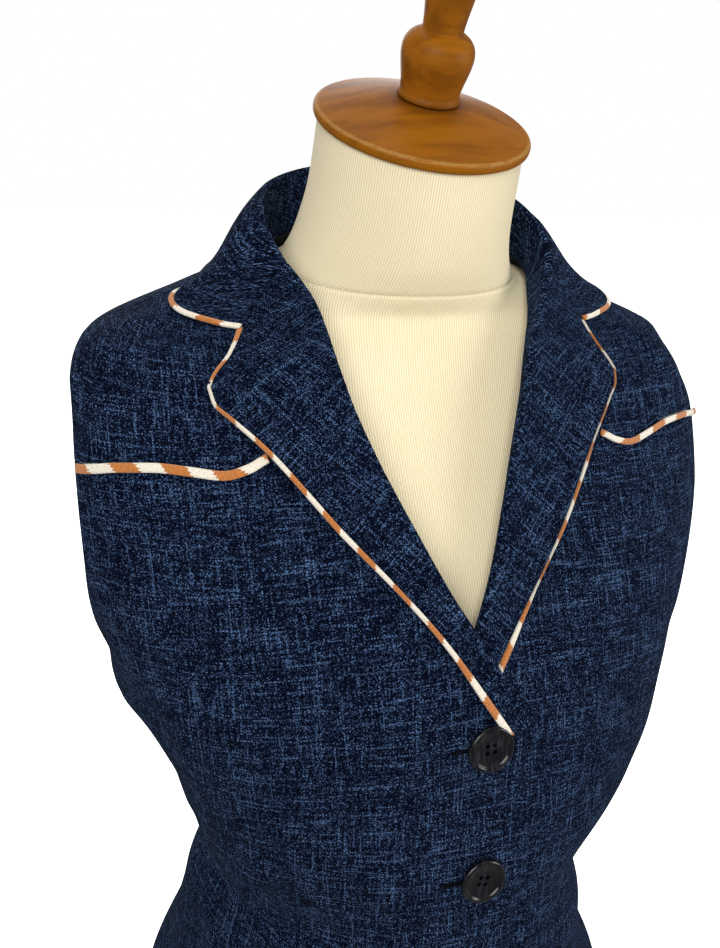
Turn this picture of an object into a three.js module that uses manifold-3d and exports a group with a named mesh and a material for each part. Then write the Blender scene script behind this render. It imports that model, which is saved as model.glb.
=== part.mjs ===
// A fitted western vest with notched lapels and piped front yokes, worn by a torso form.
// Millimetres, +Z up. The front faces -Y and the wearer's left is +X.
// The origin is the middle of the form's underside, which stands on a flat surface.

import * as THREE from 'three';
import { mergeVertices } from 'three/addons/utils/BufferGeometryUtils.js';
import Module from 'manifold-3d';

const wasm = await Module();
wasm.setup();

// Driving sizes of the cloth
const CLOTH = 2;                 // thickness of a cloth wall, with its facing
const SEAM = 0.3;                // space between two pieces that are sewn together
const LAY = 0.8;                 // space between a panel and what lies on it
const ROLL_SPACE = 1;            // space between a panel's edge and the cloth rolled over it

// Driving levels of the vest, as heights up its side
const HEM = 150;
const WAIST = 318;
const ARMHOLE_BOTTOM = 468;
const BREAK = 452;               // where the front edge starts to turn back as the lapel
const SHOULDER_END = 640;
const NECK = 690;                // the neck seam

// Driving sizes of the fastening
const LAP = 21;                  // how far each front passes the centre where its lapel starts
const LAP_AT_HEM = 38;           // the same at the hem, where the fronts spread
const BUTTON_DIAMETER = 25.4;
const BUTTON_LEVELS = [445, 367.5, 290];
const BUTTON_SPACE = 0.4;        // space between a button and the cloth

// Driving sizes of the piping
const YOKE_PIPING = { width: 5, height: 2.4 };
const EDGE_PIPING = { width: 3, height: 2.6 };
const EDGE_PIPING_RISE = 0.4;    // how far it sits above the middle of the edge it binds

// Driving angles round the body, in degrees from the centre front
const SIDE_SEAM_AT_HEM = 95;
const SHOULDER_SEAM = 101;
const CENTRE_BACK = 180;

// Colours
const NAVY = 0x131c33;
const CREAM = 0xe8dcbc;
const TAN = 0xb06a35;
const HORN = 0x15151a;
const WOOD = 0x8a5220;

const { abs, asin, cos, exp, hypot, max, min, sign, sin } = Math;
const radians = degrees => THREE.MathUtils.degToRad(degrees);
const degrees = angle => THREE.MathUtils.radToDeg(angle);
const smooth = (from, to, value) => THREE.MathUtils.smoothstep(value, from, to);
const range = count => Array.from({ length: count + 1 }, (_, i) => i / count);

// A table is a list of rows, and each row is an object with the named columns.
function table(columns, values) {
  return values.map(row => Object.fromEntries(columns.map((name, i) => [name, row[i]])));
}

// The slopes of a curve through the given values that never overshoots them.
function steadySlopes(at, values) {
  const rise = values.slice(1).map((value, i) => (value - values[i]) / (at[i + 1] - at[i]));
  return values.map((_, i) => {
    if (i === 0) return rise[0];
    if (i === rise.length) return rise[i - 1];
    if (rise[i - 1] * rise[i] <= 0) return 0;
    const before = at[i] - at[i - 1];
    const after = at[i + 1] - at[i];
    const first = 2 * after + before;
    const second = after + 2 * before;
    return (first + second) / (first / rise[i - 1] + second / rise[i]);
  });
}

// Turns a table into smooth curves: every column becomes a function of the first one.
function curvesThrough(rows) {
  const [key, ...names] = Object.keys(rows[0]);
  const at = rows.map(row => row[key]);
  const slopes = Object.fromEntries(names.map(
    name => [name, steadySlopes(at, rows.map(row => row[name]))]));
  return place => {
    const clamped = min(max(place, at[0]), at[at.length - 1]);
    let i = 0;
    while (i < at.length - 2 && clamped > at[i + 1]) i += 1;
    const span = at[i + 1] - at[i];
    const t = (clamped - at[i]) / span;
    const square = t * t;
    const cube = square * t;
    return Object.fromEntries(names.map(name => [name,
      (2 * cube - 3 * square + 1) * rows[i][name]
      + (cube - 2 * square + t) * span * slopes[name][i]
      + (3 * square - 2 * cube) * rows[i + 1][name]
      + (cube - square) * span * slopes[name][i + 1]]));
  };
}

// The vest's outer face, as level rings. A ring may be higher at the back than at the front.
// Power 1 is an ellipse, and a smaller power is squarer.
const SECTION_COLUMNS = ['level', 'frontZ', 'sideZ', 'backZ', 'halfWidth',
  'frontY', 'sideY', 'backY', 'frontPower', 'backPower'];
const vestSection = curvesThrough(table(SECTION_COLUMNS, [
  [HEM, 150, 150, 150, 170, -153, -20, 112, 0.90, 0.95],
  [210, 210, 210, 210, 155, -152, -22, 104, 0.90, 0.95],
  [WAIST, 318, 318, 318, 121, -153, -27, 80, 0.88, 1.05],
  [385, 385, 385, 385, 142, -149, -26, 86, 0.80, 1.08],
  [450, 450, 450, 450, 169, -139, -22, 96, 0.76, 1.05],
  [520, 520, 520, 520, 190, -112, -19, 105, 0.76, 0.98],
  [580, 575, 580, 585, 194, -79, -15, 104, 0.75, 0.90],
  [620, 606, 614, 623, 189, -60, -8, 96, 0.75, 0.85],
  [645, 624, 634, 645, 176, -49, -3, 84, 0.80, 0.85],
  [665, 639, 650, 667, 136, -42, 0, 70, 0.90, 0.90],
  [680, 649, 663, 683, 99, -39, 4, 60, 1.00, 1.00],
  [NECK, 655, 671, 692, 82, -38, 6, 54, 1.00, 1.00],
]));

// The torso form inside the vest, from its underside to the top of its neck.
const formSection = curvesThrough(table(SECTION_COLUMNS, [
  [16, 16, 16, 16, 146, -108, -8, 92, 1.00, 1.00],
  [24, 24, 24, 24, 151, -113, -9, 97, 1.00, 1.00],
  [130, 130, 130, 130, 160, -122, -14, 103, 1.00, 1.00],
  [210, 210, 210, 210, 146, -124, -17, 97, 0.98, 1.00],
  [WAIST, 318, 318, 318, 114, -117, -20, 71, 0.95, 1.00],
  [385, 385, 385, 385, 130, -127, -20, 78, 0.92, 1.02],
  [450, 450, 450, 450, 152, -128, -18, 89, 0.88, 1.02],
  [520, 520, 520, 520, 166, -101, -14, 97, 0.86, 1.00],
  [580, 574, 578, 583, 172, -67, -9, 95, 0.88, 0.96],
  [620, 604, 610, 619, 169, -48, -4, 85, 0.90, 0.95],
  [645, 621, 629, 641, 163, -41, -2, 74, 0.92, 0.95],
  [665, 635, 646, 663, 133, -37, 0, 63, 0.95, 0.95],
  [680, 646, 659, 679, 97, -35, 4, 54, 1.00, 1.00],
  [NECK, 656, 667, 689, 74, -41, 6, 50, 1.00, 1.00],
  [705, 673, 688, 706, 62, -52, 2, 48, 1.00, 1.00],
  [725, 696, 713, 733, 57, -60, -7, 45, 1.00, 1.00],
  [745, 722.8, 743.8, 764.8, 55.5, -66.7, -14.7, 37.3, 1.00, 1.00],
]));

function ringPoint(section, angle) {
  const s = sin(angle);
  const c = cos(angle);
  const power = c > 0 ? section.frontPower : section.backPower;
  const reach = c > 0 ? section.frontY : section.backY;
  const tilt = (section.frontZ - section.backZ) / 2;
  const dip = (section.frontZ + section.backZ) / 2 - section.sideZ;
  return new THREE.Vector3(
    section.halfWidth * sign(s) * abs(s) ** power,
    section.sideY + (reach - section.sideY) * abs(c) ** power,
    section.sideZ + tilt * c + dip * c * c);
}

const bodyPoint = (angle, level) => ringPoint(vestSection(level), radians(angle));

// The unit normal of a surface that is given as a function of an angle and a level.
function normalOf(surface, angle, level) {
  const across = surface(angle + 0.5, level).sub(surface(angle - 0.5, level));
  const top = min(level + 1, NECK);
  const along = surface(angle, top).sub(surface(angle, top - 2));
  return across.cross(along).normalize();
}

// The angle at which the vest's front is x to the side of the centre.
function angleAt(x, level) {
  const section = vestSection(level);
  return degrees(sign(x) * asin(min(1, abs(x) / section.halfWidth) ** (1 / section.frontPower)));
}

// The roll line, where each front turns back. left and right are how far it lies from the centre,
// to the front's own side. lift is how far the cloth stands off the body along that line.
const rollLine = curvesThrough(table(['level', 'left', 'right', 'lift'], [
  [BREAK, -LAP, -LAP, 0],
  [490, -7, -3, 2.5],
  [515, 5, 13, 4],
  [545, 20, 29, 5],
  [570, 32, 40, 6],
  [622, 50, 56, 6],
  [650, 58, 61, 5],
  [674, 66, 66, 4],
  [688, 73, 73, 2],
  [NECK, 82, 82, 0],
]));
const ROLL_TOP = 688;
const ROLL_FADE = 30;
const rollX = (side, level) => (side > 0 ? rollLine(level).left : rollLine(level).right);

// The right front lies over the left one, and over the left lapel where the two cross.
const overlap = curvesThrough(table(['level', 'lift'], [
  [HEM, 3.2],
  [415, 3.2],
  [455, 8.5],
  [535, 8.5],
  [580, 3],
  [620, 0],
]));
const OVERLAP_FULL = 30;
const OVERLAP_END = 85;

// The creases that run forward and up from the sides of the waist.
const CREASES = table(['angle', 'level', 'rise', 'depth', 'halfLength', 'halfHeight'], [
  [62, 322, -0.55, 5, 34, 20],
  [74, 352, -0.35, -4, 34, 26],
  [34, 268, 0.20, -3, 26, 30],
]);

function creaseDepth(angle, level) {
  const near = abs(angle);
  return CREASES.reduce((sum, crease) => {
    const along = (near - crease.angle) / crease.halfLength;
    const off = (level - crease.level - crease.rise * (near - crease.angle)) / crease.halfHeight;
    return sum + crease.depth * exp(-along * along - off * off);
  }, 0);
}

// How far the outer face of a front stands off the body's own ring. side is 1 on the wearer's left.
function frontLift(side, angle, level) {
  const section = vestSection(level);
  const own = side * angle;
  const x = section.halfWidth * sign(own) * abs(sin(radians(own))) ** section.frontPower;
  const roll = rollLine(level);
  const edge = rollX(side, level);
  const rise = level < BREAK || own > 90 ? 0 : roll.lift * exp(-max(0, x - edge) / ROLL_FADE);
  const over = side < 0 && own < 90
    ? overlap(level).lift * (1 - smooth(OVERLAP_FULL, OVERLAP_END, x)) : 0;
  return rise + over - creaseDepth(angle, level);
}

// A point at a height over the outer face of the cloth.
function clothPoint(side, angle, level, height = 0) {
  const lift = (abs(angle) > 90 ? -creaseDepth(angle, level) : frontLift(side, angle, level));
  return bodyPoint(angle, level).addScaledVector(normalOf(bodyPoint, angle, level), lift + height);
}

// A closed mesh from points and triangles.
function solid(points, triangles) {
  const geometry = new THREE.BufferGeometry();
  geometry.setAttribute('position', new THREE.Float32BufferAttribute(
    points.flatMap(p => [p.x, p.y, p.z]), 3));
  geometry.setIndex(triangles.flat());
  return geometry;
}

// Turns every triangle round if the mesh is inside out.
function facingOut(geometry) {
  const at = geometry.getAttribute('position');
  const index = geometry.getIndex();
  const corner = i => new THREE.Vector3().fromBufferAttribute(at, index.getX(i));
  let volume = 0;
  for (let i = 0; i < index.count; i += 3) {
    volume += corner(i).dot(corner(i + 1).cross(corner(i + 2)));
  }
  if (volume < 0) {
    for (let i = 0; i < index.count; i += 3) {
      const first = index.getX(i);
      index.setX(i, index.getX(i + 1));
      index.setX(i + 1, first);
    }
  }
  return geometry;
}

// Triangles over a grid of points, whose first point has the number start.
function gridTriangles(start, rows, columns, turned) {
  const triangles = [];
  for (let j = 0; j < rows - 1; j += 1) {
    for (let i = 0; i < columns - 1; i += 1) {
      const a = start + j * columns + i;
      const [b, c, d] = [a + 1, a + columns + 1, a + columns];
      triangles.push(turned ? [a, c, b] : [a, b, c], turned ? [a, d, c] : [a, c, d]);
    }
  }
  return triangles;
}

// The numbers of a grid's points in order round its border.
function border(rows, columns) {
  const numbers = [];
  for (let i = 0; i < columns - 1; i += 1) numbers.push(i);
  for (let j = 0; j < rows - 1; j += 1) numbers.push(j * columns + columns - 1);
  for (let i = columns - 1; i > 0; i -= 1) numbers.push((rows - 1) * columns + i);
  for (let j = rows - 1; j > 0; j -= 1) numbers.push(j * columns);
  return numbers;
}

// A cloth wall between an outer and an inner grid of points.
function wall(outer, inner) {
  const rows = outer.length;
  const columns = outer[0].length;
  const points = [...outer.flat(), ...inner.flat()];
  const behind = rows * columns;
  const edge = border(rows, columns);
  const sides = edge.flatMap((a, k) => {
    const b = edge[(k + 1) % edge.length];
    return [[a, a + behind, b + behind], [a, b + behind, b]];
  });
  return facingOut(solid(points, [
    ...gridTriangles(0, rows, columns, false),
    ...gridTriangles(behind, rows, columns, true), ...sides]));
}

// A closed tube through rings that all have the same number of points.
function tube(rings) {
  const around = rings[0].length;
  const points = rings.flat();
  const triangles = [];
  for (let j = 0; j < rings.length - 1; j += 1) {
    for (let i = 0; i < around; i += 1) {
      const next = (i + 1) % around;
      const [a, b] = [j * around + i, j * around + next];
      triangles.push([a, b, b + around], [a, b + around, a + around]);
    }
  }
  for (const [ring, turned] of [[0, true], [rings.length - 1, false]]) {
    const middle = points.length;
    const own = rings[ring];
    points.push(own.reduce((sum, p) => sum.add(p), new THREE.Vector3()).divideScalar(around));
    for (let i = 0; i < around; i += 1) {
      const [a, b] = [ring * around + i, ring * around + (i + 1) % around];
      triangles.push(turned ? [middle, b, a] : [middle, a, b]);
    }
  }
  return facingOut(solid(points, triangles));
}

// Fills a grid between four borders, each a function of 0 to 1 that gives [angle, level].
function filled(lower, upper, inner, outer, columns, rows) {
  const mix = (a, b, t) => [0, 1].map(k => a[k] * (1 - t) + b[k] * t);
  const corners = [lower(0), lower(1), upper(0), upper(1)];
  return rows.map(t => columns.map(s => {
    const across = mix(inner(t), outer(t), s);
    const along = mix(lower(s), upper(s), t);
    const square = mix(mix(corners[0], corners[1], s), mix(corners[2], corners[3], s), t);
    return [0, 1].map(k => across[k] + along[k] - square[k]);
  }));
}

// The armhole is an oval in angle and level. turn is -90 at its bottom and 90 at the shoulder.
const ARMHOLE = { angle: SHOULDER_SEAM, forward: 25, backward: 21 };
ARMHOLE.level = (ARMHOLE_BOTTOM + SHOULDER_END) / 2;
ARMHOLE.halfHeight = (SHOULDER_END - ARMHOLE_BOTTOM) / 2;

function armholePoint(turn, backward) {
  const reach = backward ? ARMHOLE.backward : -ARMHOLE.forward;
  return [ARMHOLE.angle + reach * cos(radians(turn)),
    ARMHOLE.level + ARMHOLE.halfHeight * sin(radians(turn))];
}

// The yoke seam runs from the roll line to the armhole, with its soft western point at x = 120.
const YOKE_TURN = degrees(asin((580 - ARMHOLE.level) / ARMHOLE.halfHeight));
const yokeSeam = curvesThrough(table(['step', 'x', 'level'], [
  [0, 47, 598],
  [1, 70, 600],
  [2, 97, 594],
  [3, 109, 587.5],
  [4, 120, 584.5],
  [5, 135, 586.5],
  [6, 150, 588],
  [7, 168, 586.5],
  [8, 190, 580],
]));
const YOKE_STEPS = 8;

// How many cells each panel has. Panels that share a seam share the numbers along it.
const FRONT_COLUMNS = 11;
const SIDE_ROWS = 13;
const FRONT_EDGE_ROWS = 12;
const UPPER_FRONT_ROWS = 6;
const YOKE_ROWS = 8;
const NECK_COLUMNS = 6;
const BACK_ARMHOLE_ROWS = 8;
const UPPER_BACK = 585;          // the level from which the back has closer rows

const gapLevel = SEAM / 2;
const gapAngle = level => degrees(SEAM / 2 / (0.9 * vestSection(level).halfWidth));

function yokeSeamPoint(side, s, gap) {
  const place = yokeSeam(s * YOKE_STEPS);
  const [lastAngle, lastLevel] = armholePoint(YOKE_TURN, false);
  if (s === 1) return [lastAngle, lastLevel + gap];
  const x = s === 0 ? rollX(side, place.level) : place.x;
  return [min(angleAt(x, place.level), lastAngle), place.level + gap];
}

// way is -1 on the front's edge of the seam and 1 on the back's.
function sideSeamPoint(t, way) {
  const angle = SIDE_SEAM_AT_HEM + (SHOULDER_SEAM - SIDE_SEAM_AT_HEM) * t;
  const level = HEM + (ARMHOLE_BOTTOM - HEM) * t;
  return [angle + way * gapAngle(level), level];
}

// The piecewise place of row number k: on one run up to the first count, then on the next.
function inRuns(k, first, counts, run, nextRun) {
  return k <= first ? run(k / first) : nextRun((k - first) / (counts - first));
}

const FRONT_ROWS = SIDE_ROWS + UPPER_FRONT_ROWS - 1;

function frontEdgePoint(side, level) {
  const spread = (BREAK - level) / (BREAK - HEM);
  const lap = LAP + (LAP_AT_HEM - LAP) * (1 - (1 - spread) ** 2);
  return [angleAt(level <= BREAK ? -lap : rollX(side, level), level), level];
}

function frontGrid(side) {
  const [, seamLevel] = yokeSeamPoint(side, 0, 0);
  const edge = k => inRuns(k, FRONT_EDGE_ROWS, FRONT_ROWS,
    t => frontEdgePoint(side, HEM + (BREAK - HEM) * t),
    t => frontEdgePoint(side, BREAK + (seamLevel - gapLevel - BREAK) * t));
  const outer = k => inRuns(k, SIDE_ROWS, FRONT_ROWS,
    t => sideSeamPoint(t, -1),
    t => {
      const [angle, level] = armholePoint(-90 + (YOKE_TURN + 90) * t, false);
      return [angle - (t === 0 ? gapAngle(level) : 0), level - (t === 1 ? gapLevel : 0)];
    });
  const hem = s => [frontEdgePoint(side, HEM)[0] * (1 - s) + sideSeamPoint(0, -1)[0] * s, HEM];
  return filled(hem, s => yokeSeamPoint(side, s, -gapLevel),
    t => edge(t * FRONT_ROWS), t => outer(t * FRONT_ROWS), range(FRONT_COLUMNS), range(FRONT_ROWS));
}

// The shoulder seam from the neck to the armhole. way is as in sideSeamPoint.
function shoulderPoint(s, way) {
  const level = NECK + (SHOULDER_END - NECK) * s;
  return [SHOULDER_SEAM + way * gapAngle(level), level];
}

function yokeGrid(side) {
  const [, seamLevel] = yokeSeamPoint(side, 0, 0);
  const neckRows = 2;
  const inner = k => inRuns(k, YOKE_ROWS - neckRows, YOKE_ROWS,
    t => frontEdgePoint(side, seamLevel + gapLevel + (ROLL_TOP - seamLevel - gapLevel) * t),
    t => [frontEdgePoint(side, ROLL_TOP)[0] * (1 - t) + shoulderPoint(0, -1)[0] * t,
      ROLL_TOP + (NECK - ROLL_TOP) * t]);
  const armhole = t => {
    const [angle, level] = armholePoint(YOKE_TURN + (90 - YOKE_TURN) * t, false);
    return [angle - (t === 1 ? gapAngle(level) : 0), level + (t === 0 ? gapLevel : 0)];
  };
  return filled(s => yokeSeamPoint(side, s, gapLevel), s => shoulderPoint(s, -1),
    t => inner(t * YOKE_ROWS), armhole, range(FRONT_COLUMNS), range(YOKE_ROWS));
}

function backGrid() {
  const columns = NECK_COLUMNS + FRONT_COLUMNS;
  const rows = SIDE_ROWS + BACK_ARMHOLE_ROWS;
  const centre = CENTRE_BACK - degrees(SEAM / 2 / 80);
  const side = k => inRuns(k, SIDE_ROWS, rows,
    t => sideSeamPoint(t, 1),
    t => {
      const [angle, level] = armholePoint(-90 + 180 * t, true);
      return [angle + (t === 0 || t === 1 ? gapAngle(level) : 0), level];
    });
  const centreLine = k => inRuns(k, SIDE_ROWS, rows,
    t => [centre, HEM + (UPPER_BACK - HEM) * t],
    t => [centre, UPPER_BACK + (NECK - UPPER_BACK) * t]);
  const top = k => inRuns(k, NECK_COLUMNS, columns,
    t => [centre + (shoulderPoint(0, 1)[0] - centre) * t, NECK],
    t => shoulderPoint(t, 1));
  const hem = s => [centre + (sideSeamPoint(0, 1)[0] - centre) * s, HEM];
  return filled(hem, s => top(s * columns), t => centreLine(t * rows), t => side(t * rows),
    range(columns), range(rows));
}

// A panel is a wall whose outer face is the cloth's own and whose inner face is CLOTH below it.
function panel(side, grid) {
  const layer = height => grid.map(row => row.map(
    ([angle, level]) => clothPoint(side, side * angle, level, height)));
  return wall(layer(0), layer(-CLOTH));
}

// The lapel from its tip to its rounded corner. rollLevel is a row's start on the roll line,
// edgeX and edgeLevel are its end on the outer edge, and stand is the height of the roll.
// uneven is how much wider the right lapel lies, and how much narrower the left one.
const LAPEL_STEPS = 6;
const lapelRow = curvesThrough(table(['step', 'rollLevel', 'edgeX', 'edgeLevel', 'stand', 'uneven'], [
  [0, BREAK + 1, -14, 449, 2.8, 0],
  [1, 503, 20, 496, 2.9, 0],
  [2, 565, 67, 554, 3.2, 0],
  [3, 615, 95, 594, 4.5, 1],
  [4, 648, 109, 612.5, 7, 3],
  [5, 672, 116, 622, 11, 4],
  [6, ROLL_TOP, 117.5, 630.5, 17, 4],
]));

// The lapel's top from the roll line along the gorge seam to the notch, and on to its corner.
const NOTCH_SHARE = 0.55;
const lapelTop = curvesThrough(table(['share', 'x', 'level', 'uneven'], [
  [0, 73, ROLL_TOP, 0],
  [NOTCH_SHARE / 2, 86, 677.5, 0],
  [NOTCH_SHARE, 98.5, 665.5, 0.5],
  [0.75, 107.5, 649, 2],
  [0.9, 114.5, 638, 3.5],
  [1, 117.5, 630.5, 4],
]));

const GORGE_COLUMNS = 6;
const LAPEL_EDGE_COLUMNS = 4;
const LAPEL_ROWS = 18;
const GORGE_WIDTH = 42;
const ROLL_CURVE = 1.5;

const lapelColumns = [
  ...range(GORGE_COLUMNS).map(s => s * NOTCH_SHARE),
  ...range(LAPEL_EDGE_COLUMNS).slice(1).map(s => NOTCH_SHARE + (1 - NOTCH_SHARE) * s),
];

function lapelGrid(side) {
  const roll = t => {
    const level = lapelRow(t * LAPEL_STEPS).rollLevel;
    return [angleAt(rollX(side, level), level), level];
  };
  const edge = t => {
    const row = lapelRow(t * LAPEL_STEPS);
    return [angleAt(row.edgeX - side * row.uneven, row.edgeLevel), row.edgeLevel];
  };
  const tip = s => [0, 1].map(k => roll(0)[k] * (1 - s) + edge(0)[k] * s);
  const top = s => {
    const place = lapelTop(s);
    return [angleAt(place.x - side * place.uneven, place.level), place.level];
  };
  return filled(tip, top, roll, edge, lapelColumns, range(LAPEL_ROWS));
}

// The middle of a rolled piece, row by row: up past the panel's edge, over the roll and down.
// grid holds the rows' places on the cloth. Each row has its stand, its width, lying for the
// height of its outer edge, and upright, which is 1 where the roll stands straight up.
function rolled(side, grid, rows) {
  const onCloth = grid.map(places => places.map(
    ([angle, level]) => clothPoint(side, side * angle, level)));
  return onCloth.map((points, j) => {
    const { stand, width, lying, upright } = rows[j];
    const normals = grid[j].map(([angle, level]) => normalOf(bodyPoint, side * angle, level));
    const base = points[0];
    const along = onCloth[min(j + 1, grid.length - 1)][0].clone().sub(onCloth[max(j - 1, 0)][0]);
    const up = normals[0].clone().lerp(new THREE.Vector3(0, 0, 1), upright).normalize();
    const inward = up.clone().cross(along).multiplyScalar(side).normalize();
    const aside = ROLL_SPACE + CLOTH / 2;
    const at = (out, height) =>
      base.clone().addScaledVector(inward, out).addScaledVector(up, height);
    const start = at(aside, 0).addScaledVector(normals[0], -CLOTH / 2);
    let travelled = 0;
    const falling = points.map((point, i) => {
      travelled += i ? point.distanceTo(points[i - 1]) : 0;
      const left = max(0, 1 - travelled / width);
      const height = lying + (stand - lying) * left ** ROLL_CURVE;
      const lean = normals[i].clone().lerp(up, left * left).normalize();
      return point.clone().addScaledVector(lean, height);
    });
    return [start, at(aside, stand - 1.5), at(aside * 0.7, stand - 0.4), ...falling];
  });
}

// A wall of the cloth's thickness on both sides of a grid of middle points.
function thickened(grid) {
  const clampRow = j => grid[min(max(j, 0), grid.length - 1)];
  const clampAt = (row, i) => row[min(max(i, 0), row.length - 1)];
  const normals = grid.map((row, j) => row.map((_, i) => {
    const across = clampAt(row, i + 1).clone().sub(clampAt(row, i - 1));
    const along = clampAt(clampRow(j + 1), i).clone().sub(clampAt(clampRow(j - 1), i));
    return across.cross(along).normalize();
  }));
  const layer = half => grid.map((row, j) => row.map(
    (point, i) => point.clone().addScaledVector(normals[j][i], half)));
  return { geometry: wall(layer(CLOTH / 2), layer(-CLOTH / 2)), normals };
}

function lapelMiddle(side) {
  const grid = lapelGrid(side);
  return rolled(side, grid, grid.map((_, j) => ({
    stand: lapelRow(j / LAPEL_ROWS * LAPEL_STEPS).stand,
    width: GORGE_WIDTH, lying: CLOTH / 2 + LAY, upright: 0 })));
}

// The collar from the gorge seam to the centre back.
const COLLAR_STEPS = 8;
const COLLAR_LYING = CLOTH / 2 + 2.2;
const collarRow = curvesThrough(table(
  ['step', 'baseAngle', 'baseLevel', 'edgeAngle', 'edgeLevel', 'stand', 'upright'], [
    [0, 59, ROLL_TOP, 45.3, 665.5, 17, 0],
    [1, 67, 689, 67, 665.5, 20, 0.3],
    [2, 77, 689.6, 87, 668, 24, 0.6],
    [3, 88, NECK, 94, 672, 28, 0.9],
    [4, SHOULDER_SEAM, NECK, 103, 673.5, 30, 1],
    [5, 121, NECK, 120, 674, 31, 1],
    [6, 141, NECK, 138, 674, 31, 1],
    [7, 160, NECK, 159, 675, 31, 1],
    [8, CENTRE_BACK, NECK, CENTRE_BACK, 675, 31, 1],
  ]));
const COLLAR_ROWS = 16;

function collarHalf(side) {
  const base = u => {
    const row = collarRow(u * COLLAR_STEPS);
    return [row.baseAngle, row.baseLevel];
  };
  const edge = u => {
    const row = collarRow(u * COLLAR_STEPS);
    return [row.edgeAngle, row.edgeLevel];
  };
  const gorge = s => {
    const place = lapelTop(s * NOTCH_SHARE);
    return [angleAt(place.x - side * place.uneven, place.level), place.level];
  };
  const centre = s => [0, 1].map(k => base(1)[k] * (1 - s) + edge(1)[k] * s);
  const grid = filled(gorge, centre, base, edge, range(GORGE_COLUMNS), range(COLLAR_ROWS));
  const rows = rolled(side, grid, grid.map((places, j) => {
    const { stand, upright } = collarRow(j / COLLAR_ROWS * COLLAR_STEPS);
    const points = places.map(([angle, level]) => clothPoint(side, side * angle, level));
    const length = points.slice(1).reduce((sum, p, i) => sum + p.distanceTo(points[i]), 0);
    const share = smooth(0, 0.3, j / COLLAR_ROWS);
    return { stand, upright, width: GORGE_WIDTH * (1 - share) + length * share,
      lying: CLOTH / 2 + LAY + (COLLAR_LYING - CLOTH / 2 - LAY) * smooth(0, 0.15, j / COLLAR_ROWS) };
  }));
  // The first row parts from the gorge seam along the way to the second.
  rows[0].forEach((point, i) => {
    const away = rows[1][i].clone().sub(point).normalize();
    point.addScaledVector(away, 2 * SEAM);
  });
  return rows;
}

function collarMiddle() {
  const left = collarHalf(1);
  const right = collarHalf(-1);
  return [...left, ...right.slice(0, -1).reverse()];
}

// Piping along an edge: each place has its point, its way out of the cloth and the cloth's normal.
const PIPING_SIDES = 8;

// How far from the notch each piping starts, as a share of the first step along its edge.
const NOTCH_CLEARANCE = { lapel: 0.15, collar: 0.5 };

function piping(places, size, rise) {
  return tube(places.map(({ point, out, normal }) => {
    const centre = point.clone().addScaledVector(out, size.width / 2 + SEAM)
      .addScaledVector(normal, rise);
    return range(PIPING_SIDES).slice(1).map(share => {
      const turn = share * 2 * Math.PI;
      return centre.clone().addScaledVector(out, size.width / 2 * cos(turn))
        .addScaledVector(normal, size.height / 2 * sin(turn));
    });
  }));
}

// The places along a run of a wall's border. inside(i) is the point just inside border point i.
function edgePlaces(run, inside, normals) {
  return run.map((point, i) => {
    const along = run[min(i + 1, run.length - 1)].clone().sub(run[max(i - 1, 0)]).normalize();
    const out = point.clone().sub(inside[i]);
    out.addScaledVector(along, -out.dot(along)).normalize();
    const normal = normals[i].clone();
    normal.addScaledVector(along, -normal.dot(along)).normalize();
    return { point, out, normal };
  });
}

// Points the normals of a grid away from the body.
function outwardNormals(grid, normals) {
  const last = grid[0].length - 1;
  return normals.map((row, j) => row.map((normal, i) => {
    const away = grid[j][min(i, last)];
    return away.x * normal.x + away.y * normal.y + 40 * normal.z < 0 ? normal.clone().negate()
      : normal.clone();
  }));
}

function lapelPiping(grid, rawNormals) {
  const normals = outwardNormals(grid, rawNormals);
  const last = grid[0].length - 1;
  const notch = last - LAPEL_EDGE_COLUMNS;
  const rows = grid.length - 1;
  const points = [];
  const inside = [];
  const ups = [];
  for (let j = 1; j < rows; j += 1) {
    points.push(grid[j][last]);
    inside.push(grid[j][last - 1]);
    ups.push(normals[j][last]);
  }
  points.push(grid[rows][last]);
  inside.push(grid[rows - 1][last - 1]);
  ups.push(normals[rows][last]);
  for (let i = last - 1; i >= notch; i -= 1) {
    const shift = i === notch ? NOTCH_CLEARANCE.lapel : 0;
    points.push(grid[rows][i].clone().lerp(grid[rows][i + 1], shift));
    inside.push(grid[rows - 1][i]);
    ups.push(normals[rows][i]);
  }
  return piping(edgePlaces(points, inside, ups), EDGE_PIPING, EDGE_PIPING_RISE);
}

function collarPiping(grid, rawNormals) {
  const normals = outwardNormals(grid, rawNormals);
  const last = grid[0].length - 1;
  const ends = grid.length - 1;
  const start = NOTCH_CLEARANCE.collar;
  const points = grid.map(row => row[last]);
  points[0] = points[0].clone().lerp(points[1], start);
  points[ends] = points[ends].clone().lerp(points[ends - 1], start);
  return piping(edgePlaces(points, grid.map(row => row[last - 1]), normals.map(row => row[last])),
    EDGE_PIPING, EDGE_PIPING_RISE);
}

// The yoke's piping lies on the lower front just under the yoke seam, outside the lapel.
const YOKE_PIPING_STEPS = 22;
const YOKE_PIPING_START = 2.55;
const YOKE_PIPING_END = 7.9;

function yokePiping(side) {
  const places = range(YOKE_PIPING_STEPS).map(share => {
    const step = YOKE_PIPING_START + (YOKE_PIPING_END - YOKE_PIPING_START) * share;
    const [angle, level] = yokeSeamPoint(side, step / YOKE_STEPS, 0);
    return { point: clothPoint(side, side * angle, level),
      inside: clothPoint(side, side * angle, level + 3),
      normal: normalOf(bodyPoint, side * angle, level) };
  });
  return piping(edgePlaces(places.map(p => p.point), places.map(p => p.inside),
    places.map(p => p.normal)), YOKE_PIPING, YOKE_PIPING.height / 2 + LAY);
}

// A closed mesh as a solid that can be cut, and back again.
function asManifold(geometry) {
  const bare = geometry.clone();
  bare.deleteAttribute('normal');
  bare.deleteAttribute('uv');
  const merged = mergeVertices(bare);
  return new wasm.Manifold(new wasm.Mesh({ numProp: 3,
    vertProperties: new Float32Array(merged.getAttribute('position').array),
    triVerts: new Uint32Array(merged.getIndex().array) }));
}

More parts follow.
